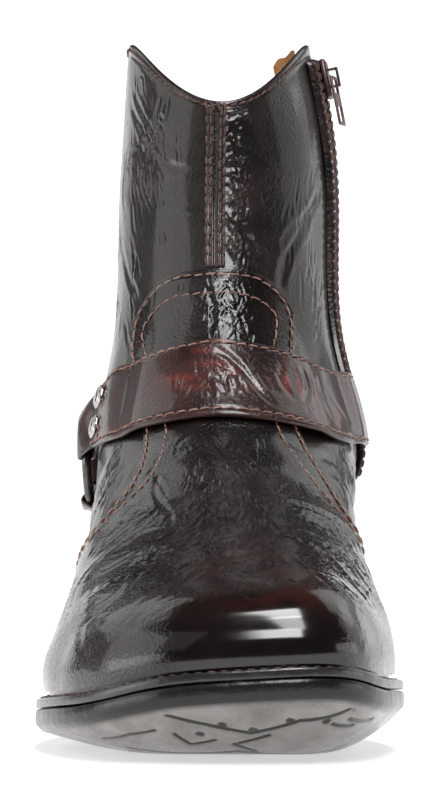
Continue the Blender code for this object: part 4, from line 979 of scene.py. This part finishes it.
def strapPiece(name, table, level, thick, creases, stands, rubs, count=300, seed=21):
    # a strap round the boot: section along its line; it settles on the leather where nothing lies under it
    edges = splineThrough(table[:, 0], table[:, 1:])
    turn = np.linspace(table[0, 0], table[-1, 0], count)
    low, high = np.moveaxis(edges(turn), -1, 0)
    wide = bootSurface(placeAt(turn), high) - bootSurface(placeAt(turn), low)
    halfWide = float((0.5 * np.linalg.norm(wide, axis=-1)).mean())
    x, h = strapSection(halfWide, thick, strapStops)
    endAt = np.concatenate([[turn[0]] * 3, turn, [turn[-1]] * 3])
    lows, highs = np.moveaxis(edges(endAt), -1, 0)
    turns2 = endAt[:, None] + 0.0 * x[None, :]
    rises2 = 0.5 * (lows + highs)[:, None] + 0.5 * (highs - lows)[:, None] * x[None, :]
    h2 = 0.5 + (h[None, :] - 0.5) * closedEnds(count)[:, None]
    place2 = placeAt(turns2)
    base = bootSurface(place2, rises2)
    across = np.abs(x)[None, :] + 0.0 * turns2
    fromEdge = (1.0 - across) * halfWide
    relief = creaseRelief(base, creases) + softWaves(base, 0.00016, seed)
    relief = relief * softStep(fromEdge / 0.004) - stitchGroove(fromEdge)
    bulge = 0.0004 * (1.0 - across ** 2)
    height = level(turns2, rises2) + thick * h2 + (relief + bulge) * np.clip(2.0 * h2 - 1.0, 0.0, 1.0)
    points = base + bootNormal(place2, rises2) * height[..., None]
    rub = softSpots(turns2, rises2, rubs) + 0.05 * np.exp(-(fromEdge / 0.0006) ** 2)
    gridPiece(name, points, strapLeather, roundSecond=True, fields={"rub": np.clip(rub, 0.0, 1.0)},
              slot="strap_leather", stands=stands)
    rows = []
    for share in (-1.0, 1.0):
        at = share * (1.0 - strapEdge["rowIn"] / halfWide)
        line = 0.5 * (low + high) + 0.5 * (high - low) * at
        topLift = level(turn, line) + thick + 0.00005
        rows.append(raisedRow(placeAt(turn), line, topLift, strapStitch))
    return rows


def instepLevel(turn, rise):
    # over the vamp in the middle, down to the leather at the sides
    over = softStep((turn - 134.0) / 14.0) * softStep((228.0 - turn) / 14.0)
    ringEnd = softStep((114.0 - turn) / 10.0)
    onVamp = 0.0004 + (overlayThick + 0.0004) * np.maximum(over, ringEnd)
    return onVamp + 0.0022 * softStep((turn - 238.0) / 8.0)


def heelLevel(turn, rise):
    # over the back seam in the middle, and out to the ring at the end
    return 0.0004 + 0.0012 * softStep((9.0 - np.abs(turn)) / 5.0) + 0.0020 * softStep((-68.0 - turn) / 8.0)


strapStitch = {"pitch": 0.0040, "length": 0.0034, "radius": 0.00033, "slant": 0.00015}
instepCreases = creaseRows([
    (0.55, 1.1, 177.0, 0.533, 184.9, 0.512, 192.5, 0.475, 199.0, 0.45),
    (0.45, 0.9, 166.6, 0.521, 177.0, 0.512, 184.9, 0.496, 189.8, 0.467),
    (0.35, 0.8, 171.5, 0.487, 175.6, 0.475, 175.6, 0.458),
    (0.4, 1.0, 205.4, 0.512, 203.1, 0.487, 208.0, 0.458),
    (0.45, 1.0, 213.8, 0.517, 215.0, 0.483, 210.5, 0.458),
    (0.35, 0.9, 222.5, 0.508, 221.5, 0.471, 223.9, 0.442),
    (0.4, 1.0, 228.8, 0.475, 234.3, 0.446, 240.5, 0.412),
    (0.3, 0.8, 156.8, 0.471, 164.9, 0.467, 167.1, 0.483),
])
instepCreases += creaseField((184.0, 0.49, 14.0, 0.02, -40.0, 30.0, 50, 6.0, 0.22, 0.5), 71)
# worn red places of the straps: turn, rise, their spreads and the strength
instepRubs = [
    (165.0, 0.490, 9.0, 0.005, 0.55), (170.0, 0.476, 8.0, 0.004, 0.50), (178.0, 0.510, 7.0, 0.005, 0.80),
    (184.0, 0.496, 6.0, 0.004, 0.80), (191.0, 0.474, 5.0, 0.006, 0.60), (172.0, 0.530, 8.0, 0.004, 0.60),
    (205.0, 0.500, 1.2, 0.034, 0.95), (211.0, 0.485, 1.0, 0.030, 0.80), (219.0, 0.470, 1.2, 0.026, 0.50),
    (231.0, 0.450, 2.4, 0.012, 0.80), (180.0, 0.548, 3.0, 0.005, 1.00), (128.0, 0.425, 8.0, 0.004, 0.40),
]
strapRows = strapPiece("instepStrap", instepStrap, instepLevel, strapThick, instepCreases, ("instep_strap",),
                       instepRubs, 320)
heelCreases = creaseField((0.0, 0.37, 40.0, 0.02, 60.0, 40.0, 40, 9.0, 0.25, 0.8), 72)
heelRubs = [(0.0, 0.375, 14.0, 0.03, 0.6), (-40.0, 0.40, 12.0, 0.02, 0.5), (45.0, 0.37, 12.0, 0.02, 0.5)]
strapRows += strapPiece("heelStrap", heelStrap, heelLevel, strapThick, heelCreases, ("heel_strap",),
                        heelRubs, 320)
endTurn = np.full(60, 113.5)
endRise = np.linspace(0.408, 0.508, 60)
endLift = instepLevel(113.5, 0.45) + strapThick + 0.0003
strapRows.append(raisedRow(placeAt(endTurn), endRise, endLift, strapStitch))
print("straps made")


# places given in the frame of a spot on the boot: x level round it, y up it, z out of it
def spotFrame(turn, rise, lift):
    out = Vector(bootNormal(placeAt(turn), rise))
    side = Vector((0.0, 0.0, 1.0)).cross(out).normalized()
    turned = Matrix((side, out.cross(side), out)).transposed().to_4x4()
    return np.array(Matrix.Translation(Vector(lifted(placeAt(turn), rise, lift))) @ turned)


def placed(matrix, points):
    # points turned and moved by a matrix
    return points @ matrix[:3, :3].T + matrix[:3, 3]


# the ring and the strap ends that fold round its wire
ringLook = {"radius": 0.0155, "wire": 0.0016, "turn": 87.0, "rise": 0.357, "lift": 0.0034, "fold": 0.0012}
ringFrame = spotFrame(ringLook["turn"], ringLook["rise"], ringLook["lift"])
around = 2.0 * math.pi * np.arange(120)[:, None] / 120
about = 2.0 * math.pi * np.arange(24)[None, :] / 24
reach = ringLook["radius"] + ringLook["wire"] * np.cos(about)
ringPoints = np.stack([reach * np.cos(around), reach * np.sin(around),
                       ringLook["wire"] * np.sin(about) + 0.0 * around], axis=-1)
gridPiece("harnessRing", placed(ringFrame, ringPoints)[::-1], darkNickel, roundFirst=True, roundSecond=True,
          slot="ring_metal", stands=("harness_ring",))


def foldPiece(name, way, spread, farTop, farLow, flip, stands):
    # a ribbon from the strap's end over the ring's wire and back under it: a circle round the wire with two
    # straight runs, as a sheet with its thickness to both sides
    share = np.linspace(-1.0, 1.0, 27)
    phi = np.radians(way + spread * share)
    radial = np.stack([np.cos(phi), np.sin(phi), 0.0 * phi], axis=-1) @ ringFrame[:3, :3].T
    out = ringFrame[:3, 2]
    wire = placed(ringFrame, ringLook["radius"] * np.stack([np.cos(phi), np.sin(phi), 0.0 * phi], axis=-1))
    middleRadius = ringLook["wire"] + gap + 0.5 * ringLook["fold"]
    bend = np.radians(np.linspace(80.0, 280.0, 22))
    wrap = wire[None] + middleRadius * (radial[None] * np.cos(bend)[:, None, None]
                                        + out * np.sin(bend)[:, None, None])
    q = share * (-1.0 if flip else 1.0)
    top, low = farTop(q), farLow(q)
    t = np.linspace(0.0, 1.0, 16)[:-1, None, None]
    ease = 0.35 * np.sin(math.pi * t) * t
    first = top[None] * (1.0 - t) + wrap[:1] * t + ease * out * 0.002
    last = wrap[-1:] * t + low[None] * (1.0 - t)
    sheet = np.concatenate([first, wrap, last[::-1]])
    normal = unit(np.cross(np.gradient(sheet, axis=0), np.gradient(sheet, axis=1)))
    middleRow = normal[len(first) + 2, len(share) // 2]
    if (middleRow * out).sum() < 0.0:
        normal = -normal
    half = 0.5 * ringLook["fold"]
    arc = np.linspace(0.0, math.pi, 6)[1:-1]
    cross = unit(np.gradient(sheet, axis=1))
    sines, cosines = np.sin(arc)[None, :, None], np.cos(arc)[None, :, None]
    low0 = sheet[:, :1] - half * cross[:, :1] * sines - half * normal[:, :1] * cosines
    high0 = sheet[:, -1:] + half * cross[:, -1:] * sines + half * normal[:, -1:] * cosines
    section = np.concatenate([sheet + half * normal, high0, (sheet - half * normal)[:, ::-1], low0], axis=1)
    closed = np.concatenate([np.repeat(section[:1].mean(1, keepdims=True), section.shape[1], 1), section,
                             np.repeat(section[-1:].mean(1, keepdims=True), section.shape[1], 1)])
    sample = np.cross(closed[20, 13] - closed[19, 13], closed[19, 14] - closed[19, 13])
    if (sample * normal[18, 13]).sum() < 0.0:
        closed = closed[:, ::-1]
    rub = 0.05 + 0.0 * closed[..., 0]
    return gridPiece(name, closed, strapLeather, roundSecond=True, fields={"rub": rub}, slot="strap_leather",
                     stands=stands)


def strapEnd(table, turn, level, lift):
    # a strap's end as a line: its rise by q from -1 at the lower edge to 1 at the upper
    edges = splineThrough(table[:, 0], table[:, 1:])

    def at(q):
        low, high = edges(np.array(turn))
        rise = 0.5 * (low + high) + 0.46 * (high - low) * q
        return lifted(placeAt(turn) + 0.0 * q, rise, level(turn + 0.0 * q, rise) + lift)

    return at


foldPiece("instepFold", 42.0, 38.0, strapEnd(instepStrap, 109.5, instepLevel, strapThick - 0.0004),
          strapEnd(instepStrap, 110.0, instepLevel, 0.0002), False, ("instep_strap_fold",))
foldPiece("heelFold", 171.0, 36.0, strapEnd(heelStrap, 67.0, heelLevel, strapThick - 0.0004),
          strapEnd(heelStrap, 67.0, heelLevel, 0.0002), True, ("heel_strap_fold",))
downWidth, downTop, downCount = 0.0180, 0.222, 120
downTurn, downRise, downPer = stripLine(downStrapLine, 0.010, downTop, downCount)


def downEnd(lift):
    # the same for the down strap, by q across it
    def at(q):
        turn = downTurn[-4] + downPer[-4] * 0.46 * downWidth * q
        return lifted(placeAt(turn), downRise[-4] + 0.0 * q, lift)
    return at


foldPiece("downFold", 270.0, 32.0, downEnd(0.0022), downEnd(0.0006), False, ("down_strap_fold",))
x, h = strapSection(0.5 * downWidth, strapThick, strapStops)
endAt = np.concatenate([[0] * 3, np.arange(downCount), [downCount - 1] * 3])
turns2 = downTurn[endAt][:, None] + downPer[endAt][:, None] * 0.5 * downWidth * x[None, ::-1]
rises2 = downRise[endAt][:, None] + 0.0 * turns2
h2 = 0.5 + (h[None, ::-1] - 0.5) * closedEnds(downCount)[:, None]
base = bootSurface(placeAt(turns2), rises2)
fromEdge = (1.0 - np.abs(x[None, ::-1])) * 0.5 * downWidth + 0.0 * turns2
relief = softWaves(base, 0.00018, 8) - stitchGroove(fromEdge)
height = 0.0003 + strapThick * h2 + relief * np.clip(2.0 * h2 - 1.0, 0.0, 1.0)
points = base + bootNormal(placeAt(turns2), rises2) * height[..., None]
gridPiece("downStrap", points, strapLeather, roundSecond=True, fields={"rub": 0.10 + 0.0 * fromEdge},
          slot="strap_leather", stands=("down_strap",))
for shift in (-0.5 * downWidth + strapEdge["rowIn"], 0.5 * downWidth - strapEdge["rowIn"]):
    strapRows.append(stripRow(downStrapLine, shift, 0.02, downTop - 0.006, strapThick + 0.0004, strapStitch))
threadPiece("strapStitches", strapRows, threadPink, "strap_leather")


# rivets: a dome on a flat rim, turned round its middle
def turnedPiece(name, profile, matrix, material, slotName, stands, sides=48):
    angle = 2.0 * math.pi * np.arange(sides)[:, None] / sides
    profile = np.array(profile)
    points = np.stack([profile[:, 0] * np.cos(angle), profile[:, 0] * np.sin(angle),
                       profile[:, 1] + 0.0 * angle], axis=-1)
    return gridPiece(name, placed(matrix, points), material, roundFirst=True, slot=slotName, stands=stands)


for name, stand, turn, rise in (("rivetUpper", "rivet_upper", 110.6, 0.482),
                                ("rivetLower", "rivet_lower", 110.0, 0.430)):
    dome = [(0.0, -0.0009), (0.0041, -0.0009), (0.0043, -0.0002), (0.0042, 0.0003), (0.0037, 0.0006)]
    dome += [(0.0034 * math.cos(a), 0.0006 + 0.0009 * math.sin(a))
             for a in np.linspace(0.0, 0.5 * math.pi, 12)]
    matrix = spotFrame(turn, rise, float(instepLevel(turn, rise)) + strapThick + 0.0006)
    turnedPiece(name, dome, matrix, nickel, "ring_metal", (stand,))
print("ring, folds and rivets made")


# welt, outsole, heel and insole
def soleOutline(margin, places):
    # the last's outline moved out by a margin
    step = 1e-4
    way = outlineAt((places + step) % 1.0) - outlineAt((places - step) % 1.0)
    normal = unit(np.stack([way[..., 1], -way[..., 0]], axis=-1))
    return outlineAt(places % 1.0) + np.asarray(margin)[..., None] * normal


def underEdge(x, y):
    # the height of the sole's lower edge: under the welt and the sole's own edge
    return featherHeight(x, y) - sole["weltThick"] - sole["edge"] - 2.0 * gap


def underMiddle(x, y):
    # the height of the sole's middle: lower by the belly ahead of the arch, never under the floor
    arch = softStep((-0.13 * foot["length"] - y) / (0.22 * foot["length"]))
    return np.maximum(underEdge(0.0 * x, y) - sole["belly"] * arch, 0.0)


def shrunkPlan(plan, share):
    # drawn in towards the foot's middle line
    middleY = np.clip(plan[..., 1], 0.80 * foreEnd, 0.10 * rearEnd)
    middle = np.stack([0.085 * foot["ballWidth"] * middleY / foreEnd, middleY], axis=-1)
    return middle + share * (plan - middle)


soleLook = {"places": 620, "tread": 0.0007, "gather": 0.11, "edgeRows": 56, "middleRows": 22}
evenShare = (np.arange(soleLook["places"]) / soleLook["places"])[:, None]
solePlaces = evenShare + soleLook["gather"] * np.sin(2.0 * math.pi * evenShare)
weltReach, weltThick, weltLap = sole["weltReach"], sole["weltThick"], sole["weltLap"]
arc = np.linspace(0.0, 0.5 * math.pi, 7)
marginList = [-weltLap, -0.002, 0.0002, 0.0008, 0.0016, 0.0022, 0.0028]
dropList = [0.0002, 0.0002, 0.0002, 0.00018, 0.00005, 0.0, 0.0]
marginList += list(weltReach - 0.0009 + 0.0009 * np.sin(arc))
dropList += list(0.0009 - 0.0009 * np.cos(arc))
marginList += list(weltReach - 0.0004 + 0.0004 * np.cos(arc)) + [-weltLap]
dropList += list(weltThick - 0.0004 + 0.0004 * np.sin(arc)) + [weltThick]
margins, drops = np.array(marginList)[None, :], np.array(dropList)[None, :]
plan = soleOutline(margins + 0.0 * solePlaces, solePlaces + 0.0 * margins)
level = featherHeight(plan[..., 0], plan[..., 1]) - gap - drops
weltPoints = onPlan(plan, level)
weltPoints[..., 2] += softWaves(weltPoints, 0.00008, 14)
gridPiece("weltStrip", weltPoints[:, ::-1], weltFinish, roundFirst=True, roundSecond=True, slot="welt",
          stands=("welt",))
weltLine = np.linspace(0.0, 1.0, 1400)
plan = soleOutline(np.full(len(weltLine), 0.0023), weltLine)
weltPath = onPlan(plan, featherHeight(plan[:, 0], plan[:, 1]) - gap + 0.00005)
upNormals = np.tile(np.array([0.0, 0.0, 1.0]), (len(weltLine), 1))
weltStitch = {"pitch": 0.0036, "length": 0.0027, "radius": 0.00038, "slant": 0.0}
threadPiece("weltStitches", [(weltPath, upNormals, weltStitch)], threadDark, "welt")

# the sole's edge: how far out and how far down
rim = np.array([
    (-0.006, 0.0), (-0.0009, 0.0), (-0.0003, 0.00015), (0.0, 0.0006), (0.00015, 0.0014), (0.0002, 0.0022),
    (0.0002, 0.0030), (0.00015, 0.0038), (0.0, 0.0045), (-0.0002, 0.0049), (-0.0007, 0.0054),
    (-0.0014, 0.0061), (-0.0019, 0.0066), (-0.0021, 0.00675),
])
margins = weltReach + rim[None, :, 0]
plan = soleOutline(margins + 0.0 * solePlaces, solePlaces + 0.0 * margins)
level = featherHeight(plan[..., 0], plan[..., 1]) - weltThick - 2.0 * gap - rim[None, :, 1]
rimPoints = onPlan(plan, level)
shares = np.concatenate([np.linspace(1.0, sole["flatShare"], soleLook["edgeRows"]),
                         np.linspace(sole["flatShare"], 0.02, soleLook["middleRows"])[1:]])[None, :]
base = soleOutline(weltReach - sole["bevel"] + 0.0 * solePlaces, solePlaces)
plan = shrunkPlan(base, shares[..., None])
edgeShare = np.clip((shares - sole["flatShare"]) / (1.0 - sole["flatShare"]), 0.0, 1.0) ** 2
middleLevel = underMiddle(plan[..., 0], plan[..., 1])
level = (1.0 - edgeShare) * middleLevel + edgeShare * underEdge(plan[..., 0], plan[..., 1])


def treadDepth(x, y, lines):
    # grooves along straight lines in plan: e^-(d/wide)^2
    depth = 0.0 * x
    for ax, ay, bx, by, wide in lines:
        share = ((x - ax) * (bx - ax) + (y - ay) * (by - ay)) / ((bx - ax) ** 2 + (by - ay) ** 2)
        share = np.clip(share, 0.0, 1.0)
        far = np.hypot(x - ax - share * (bx - ax), y - ay - share * (by - ay))
        depth = np.maximum(depth, np.exp(-(far / wide) ** 2))
    return depth


# grooves of the forepart's tread, in mm: from, to, half width
treadLines = 0.001 * np.array([
    (-17.5, -261.7, -4.6, -259.0, 0.8), (-4.6, -259.0, 8.0, -255.3, 0.8), (8.0, -255.3, 21.3, -259.6, 0.8),
    (21.3, -259.6, 36.4, -258.2, 0.8), (-33.0, -234.8, -25.6, -246.9, 0.8), (-25.6, -246.9, -18.5, -253.3, 0.8),
    (-13.0, -253.1, -8.6, -247.6, 0.9), (-8.6, -247.6, -2.0, -251.5, 0.9), (3.3, -249.1, 12.9, -254.2, 0.9),
    (3.3, -249.1, 9.5, -243.0, 0.9), (30.2, -255.4, 36.0, -248.9, 0.8), (34.9, -254.1, 41.6, -242.1, 0.8),
    (-0.3, -259.0, 0.3, -258.8, 1.3), (8.2, -256.8, 8.9, -256.6, 1.3), (18.3, -260.0, 18.9, -259.8, 1.3),
    (28.2, -257.4, 28.8, -257.2, 1.3), (-6.3, -254.6, -5.7, -254.4, 1.3), (36.7, -257.4, 37.2, -257.2, 1.3),
])
bars = [(side * 0.030 + 0.004, y, 0.004, y - 0.013, 0.0009)
        for y in np.arange(-0.128, -0.236, -0.0085) for side in (-1.0, 1.0)]
treadLines = np.concatenate([treadLines, bars])
grooveAndShade = treadDepth(plan[..., 0], plan[..., 1], treadLines) * softStep((0.995 - shares) / 0.01)
bottom = onPlan(plan, level + soleLook["tread"] * grooveAndShade)
solePoints = np.concatenate([rimPoints, bottom], axis=1)
# the groove mask also paints shade into the grooves' colour
dark = np.concatenate([np.zeros(rimPoints.shape[:2]), grooveAndShade], axis=1)
rimUnder = np.tile(softStep((rim[:, 1] - 0.0055) / 0.001), (len(plan), 1))
under = np.concatenate([rimUnder, np.ones(level.shape)], axis=1)
soleFields = {"grooveAndShade": dark[:, ::-1], "under": under[:, ::-1]}
gridPiece("soleUnit", solePoints[:, ::-1], soleFinish, roundFirst=True, fields=soleFields,
          slot="outsole_rubber", stands=("outsole",))

heelLook = {"length": 0.070, "taper": 0.0030, "topPiece": 0.0060, "points": 260}


def heelPlan():
    # the D-shaped plan: the outline behind the breast line, and the breast
    breast = -0.5 * heelLook["length"]
    whole = soleOutline(np.full(2880, weltReach - sole["bevel"] - 0.0002), np.arange(2880) / 2880.0)
    outer = whole[:1440][whole[:1440, 1] >= breast]
    inner = whole[1440:][whole[1440:, 1] >= breast]
    front = np.linspace(outer[-1], inner[0], 60)[1:-1]
    front[:, 1] += 0.0022 * np.sin(np.linspace(0.0, math.pi, 58))
    loop = np.concatenate([outer, front, inner])
    lengths = np.concatenate([[0.0], np.cumsum(np.linalg.norm(np.diff(loop, axis=0), axis=1))])
    wanted = np.linspace(0.0, lengths[-1], heelLook["points"] + 1)[:-1]
    return np.stack([np.interp(wanted, lengths, loop[:, k]) for k in (0, 1)], axis=1)


heelOutline = heelPlan()
heelMiddle = np.array([0.0, -0.002])
heelAway = unit(heelOutline - heelMiddle)


def heelWall(insets, levels):
    # rings of the heel's outline, drawn in and set at their heights
    plan = heelOutline[:, None] - heelAway[:, None] * insets[..., None]
    return onPlan(plan, levels)


heelTop = underEdge(heelOutline[:, 0], heelOutline[:, 1]) - gap
shares = np.linspace(0.0, 1.0, 66)[None, :]
insets = heelLook["taper"] * shares ** 0.8 + 0.0008 * np.sin(math.pi * shares)
layers = np.abs(np.sin(math.pi * 4.0 * shares)) ** 0.25
insets = insets + 0.00022 * (1.0 - layers) + 0.0 * heelTop[:, None]
levels = heelTop[:, None] + (heelLook["topPiece"] + gap - heelTop[:, None]) * shares
wall = heelWall(insets, levels)
cap = heelMiddle[None] + 0.0 * heelOutline
topCap = onPlan(cap, np.full(len(cap), heelTop.mean()))[:, None]
lowCap = onPlan(cap, np.full(len(cap), heelLook["topPiece"] + gap))[:, None]
gridPiece("heelBlock", np.concatenate([topCap, wall, lowCap], axis=1)[:, ::-1], heelFinish, roundFirst=True,
          slot="heel_stack", stands=("heel_block",))
topPieceLevels = [heelLook["topPiece"], heelLook["topPiece"], 0.0057, 0.0030, 0.0006, 0.00015, 0.0]
topPieceInsets = [0.004, 0.0003, 0.0, 0.0, 0.0, 0.0002, 0.0007]
levels = np.tile(topPieceLevels, (len(heelTop), 1))
insets = heelLook["taper"] + np.tile(topPieceInsets, (len(heelTop), 1))
wall = heelWall(insets, levels)
topCap = onPlan(cap, np.full(len(cap), heelLook["topPiece"]))[:, None]
lowCap = onPlan(cap, np.zeros(len(cap)))[:, None]
gridPiece("heelTopPiece", np.concatenate([topCap, wall, lowCap], axis=1)[:, ::-1], rubberFinish,
          roundFirst=True, slot="outsole_rubber", stands=("heel_top_piece",))

insolePlaces = (np.arange(200) / 200.0)[:, None]
insoleShares = np.array([0.0, 0.2, 0.4, 0.6, 0.75, 0.88, 0.95, 0.985, 1.0, 1.0])[None, :]
base = soleOutline(-foot["wall"] - 4.0 * gap + 0.0 * insolePlaces, insolePlaces)
plan = shrunkPlan(base, insoleShares[..., None])
insoleLook = {"thick": 0.0022, "edgeDrop": 0.0006, "cup": 0.0012, "sideDrop": 0.0018}
edgeDrop = insoleLook["edgeDrop"] * softStep((insoleShares - 0.95) / 0.05)
level = featherHeight(plan[..., 0], plan[..., 1]) + insoleLook["thick"] - edgeDrop
level = level + insoleLook["cup"] * insoleShares ** 6
level[:, -1] = level[:, -1] - insoleLook["sideDrop"]
gridPiece("footbed", onPlan(plan, level)[:, ::-1], insoleLeather, roundFirst=True, slot="insole_leather",
          stands=("insole",))
print("sole, heel and insole made")


# slider and pull tab: the CAD's own shapes, merged and with rounded edges
def roundedCopy(cadName, name, width, material, body):
    copy = bmesh.new()
    copy.from_mesh(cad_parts[cadName].data)
    bmesh.ops.remove_doubles(copy, verts=copy.verts, dist=0.00001)
    bmesh.ops.dissolve_limit(copy, angle_limit=0.02, verts=copy.verts, edges=copy.edges)
    mesh = bpy.data.meshes.new(name)
    copy.to_mesh(mesh)
    copy.free()
    mesh.materials.clear()
    mesh.materials.append(material)
    piece = bpy.data.objects.new(name, mesh)
    bpy.context.scene.collection.objects.link(piece)
    soft = piece.modifiers.new("rounded", "BEVEL")
    soft.width = width
    soft.segments = 3
    soft.limit_method = "ANGLE"
    soft.angle_limit = 0.6
    mesh.shade_smooth()
    mesh.set_sharp_from_angle(angle=0.7)
    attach(piece, body)
    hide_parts(cadName)
    return piece


roundedCopy("zip_slider", "zipSlider", 0.0003, zipMetal, "boot")
roundedCopy("zip_pull_tab", "pullTab", 0.00028, pullMetal, "pull_tab")
print("slider and pull tab made")


# floor, backdrop, lights and camera
def stageMaterial(name, colour, glow):
    material, tree, shader = newMaterial(name)
    shader.inputs["Base Color"].default_value = (*colour, 1.0)
    shader.inputs["Roughness"].default_value = 0.9
    # the paper glows a little near the boot and more far behind it, and is clear from its back
    where = node(tree, "ShaderNodeTexCoord").outputs["Object"]
    back = node(tree, "ShaderNodeSeparateXYZ", {0: where}).outputs[1]
    glowing = mixed(tree, ramped(tree, back, 0.2, 1.6), (glow[0],) * 3, (glow[1],) * 3)
    tree.links.new(glowing, shader.inputs["Emission Color"])
    shader.inputs["Emission Strength"].default_value = 1.0
    clear = node(tree, "ShaderNodeBsdfTransparent").outputs[0]
    behind = node(tree, "ShaderNodeNewGeometry").outputs["Backfacing"]
    both = node(tree, "ShaderNodeMixShader", {0: behind, 1: shader.outputs[0], 2: clear})
    tree.links.new(both.outputs[0], tree.nodes["Material Output"].inputs["Surface"])
    return material


paper = {"front": -0.46, "bend": 4.0, "radius": 0.6, "top": 1.40, "halfWidth": 5.0}
bend = np.linspace(0.1, 0.5 * math.pi, 14)
curve = np.stack([paper["bend"] + paper["radius"] * np.sin(bend),
                  paper["radius"] * (1.0 - np.cos(bend))], axis=-1)
back = paper["bend"] + paper["radius"]
sweep = np.concatenate([[(paper["front"], 0.0), (paper["bend"], 0.0)], curve, [(back, paper["top"])]])
ways = paper["halfWidth"] * np.array([[-1.0], [1.0]])
floorPoints = np.stack(np.broadcast_arrays(ways, sweep[:, 0], sweep[:, 1]), axis=-1)
floorMesh = bpy.data.meshes.new("paperSweep")
floorMesh.from_pydata(floorPoints.reshape(-1, 3).tolist(), [], gridFaces(2, len(sweep)).tolist())
floorMesh.shade_smooth()
floorMesh.materials.append(stageMaterial("paper", (0.85, 0.85, 0.85), (0.52, 0.88)))
floor = bpy.data.objects.new("paperSweep", floorMesh)
bpy.context.scene.collection.objects.link(floor)


def softLight(name, place, target, size, power, colour=(1.0, 1.0, 1.0)):
    # a flat light at a place, turned to its target
    lamp = bpy.data.lights.new(name, "AREA")
    lamp.shape = "RECTANGLE"
    lamp.size, lamp.size_y = size
    lamp.energy = power
    lamp.color = colour
    holder = bpy.data.objects.new(name, lamp)
    holder.location = place
    holder.rotation_euler = (Vector(target) - Vector(place)).to_track_quat("-Z", "Y").to_euler()
    bpy.context.scene.collection.objects.link(holder)
    return holder


# name, place, what it faces, width and height, watts, colour
for light in (
    ("leftBox", (-1.25, -0.25, 0.50), (0.0, -0.08, 0.12), (1.2, 1.1), 6.4, (1.0, 0.98, 0.96)),
    ("leftFrontCard", (-0.95, -0.90, 0.80), (0.0, -0.04, 0.16), (1.1, 0.9), 1.3, (1.0, 0.95, 0.92)),
    ("rightBox", (1.15, 0.40, 0.50), (0.0, -0.05, 0.12), (1.1, 1.1), 3.0, (1.0, 0.98, 0.97)),
    ("frontPanel", (0.15, -0.80, 1.10), (0.0, -0.14, 0.08), (0.28, 0.62), 5.6),
    ("frontStrip", (0.13, -1.26, 0.86), (0.0, -0.12, 0.12), (0.40, 0.46), 9.0),
    ("topStrip", (0.07, -0.38, 1.25), (0.01, -0.09, 0.11), (0.26, 0.44), 5.0),
    ("leftLow", (-0.90, -0.42, 0.11), (0.0, -0.16, 0.05), (0.9, 0.20), 1.5),
    ("rightLow", (0.90, -0.30, 0.11), (0.0, -0.16, 0.05), (0.8, 0.20), 1.1),
    ("backLeft", (-1.0, 0.85, 1.25), (0.0, 0.0, 0.0), (1.2, 1.2), 5.0),
    ("backRight", (1.0, 0.85, 1.25), (0.0, 0.0, 0.0), (1.2, 1.2), 5.0),
):
    softLight(*light)
world = bpy.data.worlds.new("room")
world.use_nodes = True
world.node_tree.nodes["Background"].inputs[0].default_value = (1.0, 1.0, 1.0, 1.0)
# a dark room to the leather's reflections, white paper to the camera
seen = node(world.node_tree, "ShaderNodeLightPath").outputs["Is Camera Ray"]
room = {"dark": 0.02, "pale": 0.95}
strength = ramped(world.node_tree, seen, 0.0, 1.0, room["dark"], room["pale"])
world.node_tree.links.new(strength, world.node_tree.nodes["Background"].inputs[1])
bpy.context.scene.world = world
bpy.context.scene.view_settings.view_transform = "Standard"

shot = {"place": (0.0, -1.072, 0.060), "pitch": 2.738, "yaw": 0.125, "lens": 132.0}
camera = bpy.data.cameras.new("camera")
camera.sensor_fit = "VERTICAL"
camera.sensor_height = 36.0
camera.sensor_width = 36.0
camera.lens = shot["lens"]
camera.clip_start, camera.clip_end = 0.05, 20.0
cameraHolder = bpy.data.objects.new("camera", camera)
cameraHolder.location = shot["place"]
cameraHolder.rotation_euler = (math.radians(90.0 + shot["pitch"]), 0.0, math.radians(shot["yaw"]))
bpy.context.scene.collection.objects.link(cameraHolder)
bpy.context.scene.camera = cameraHolder

print("scene made")
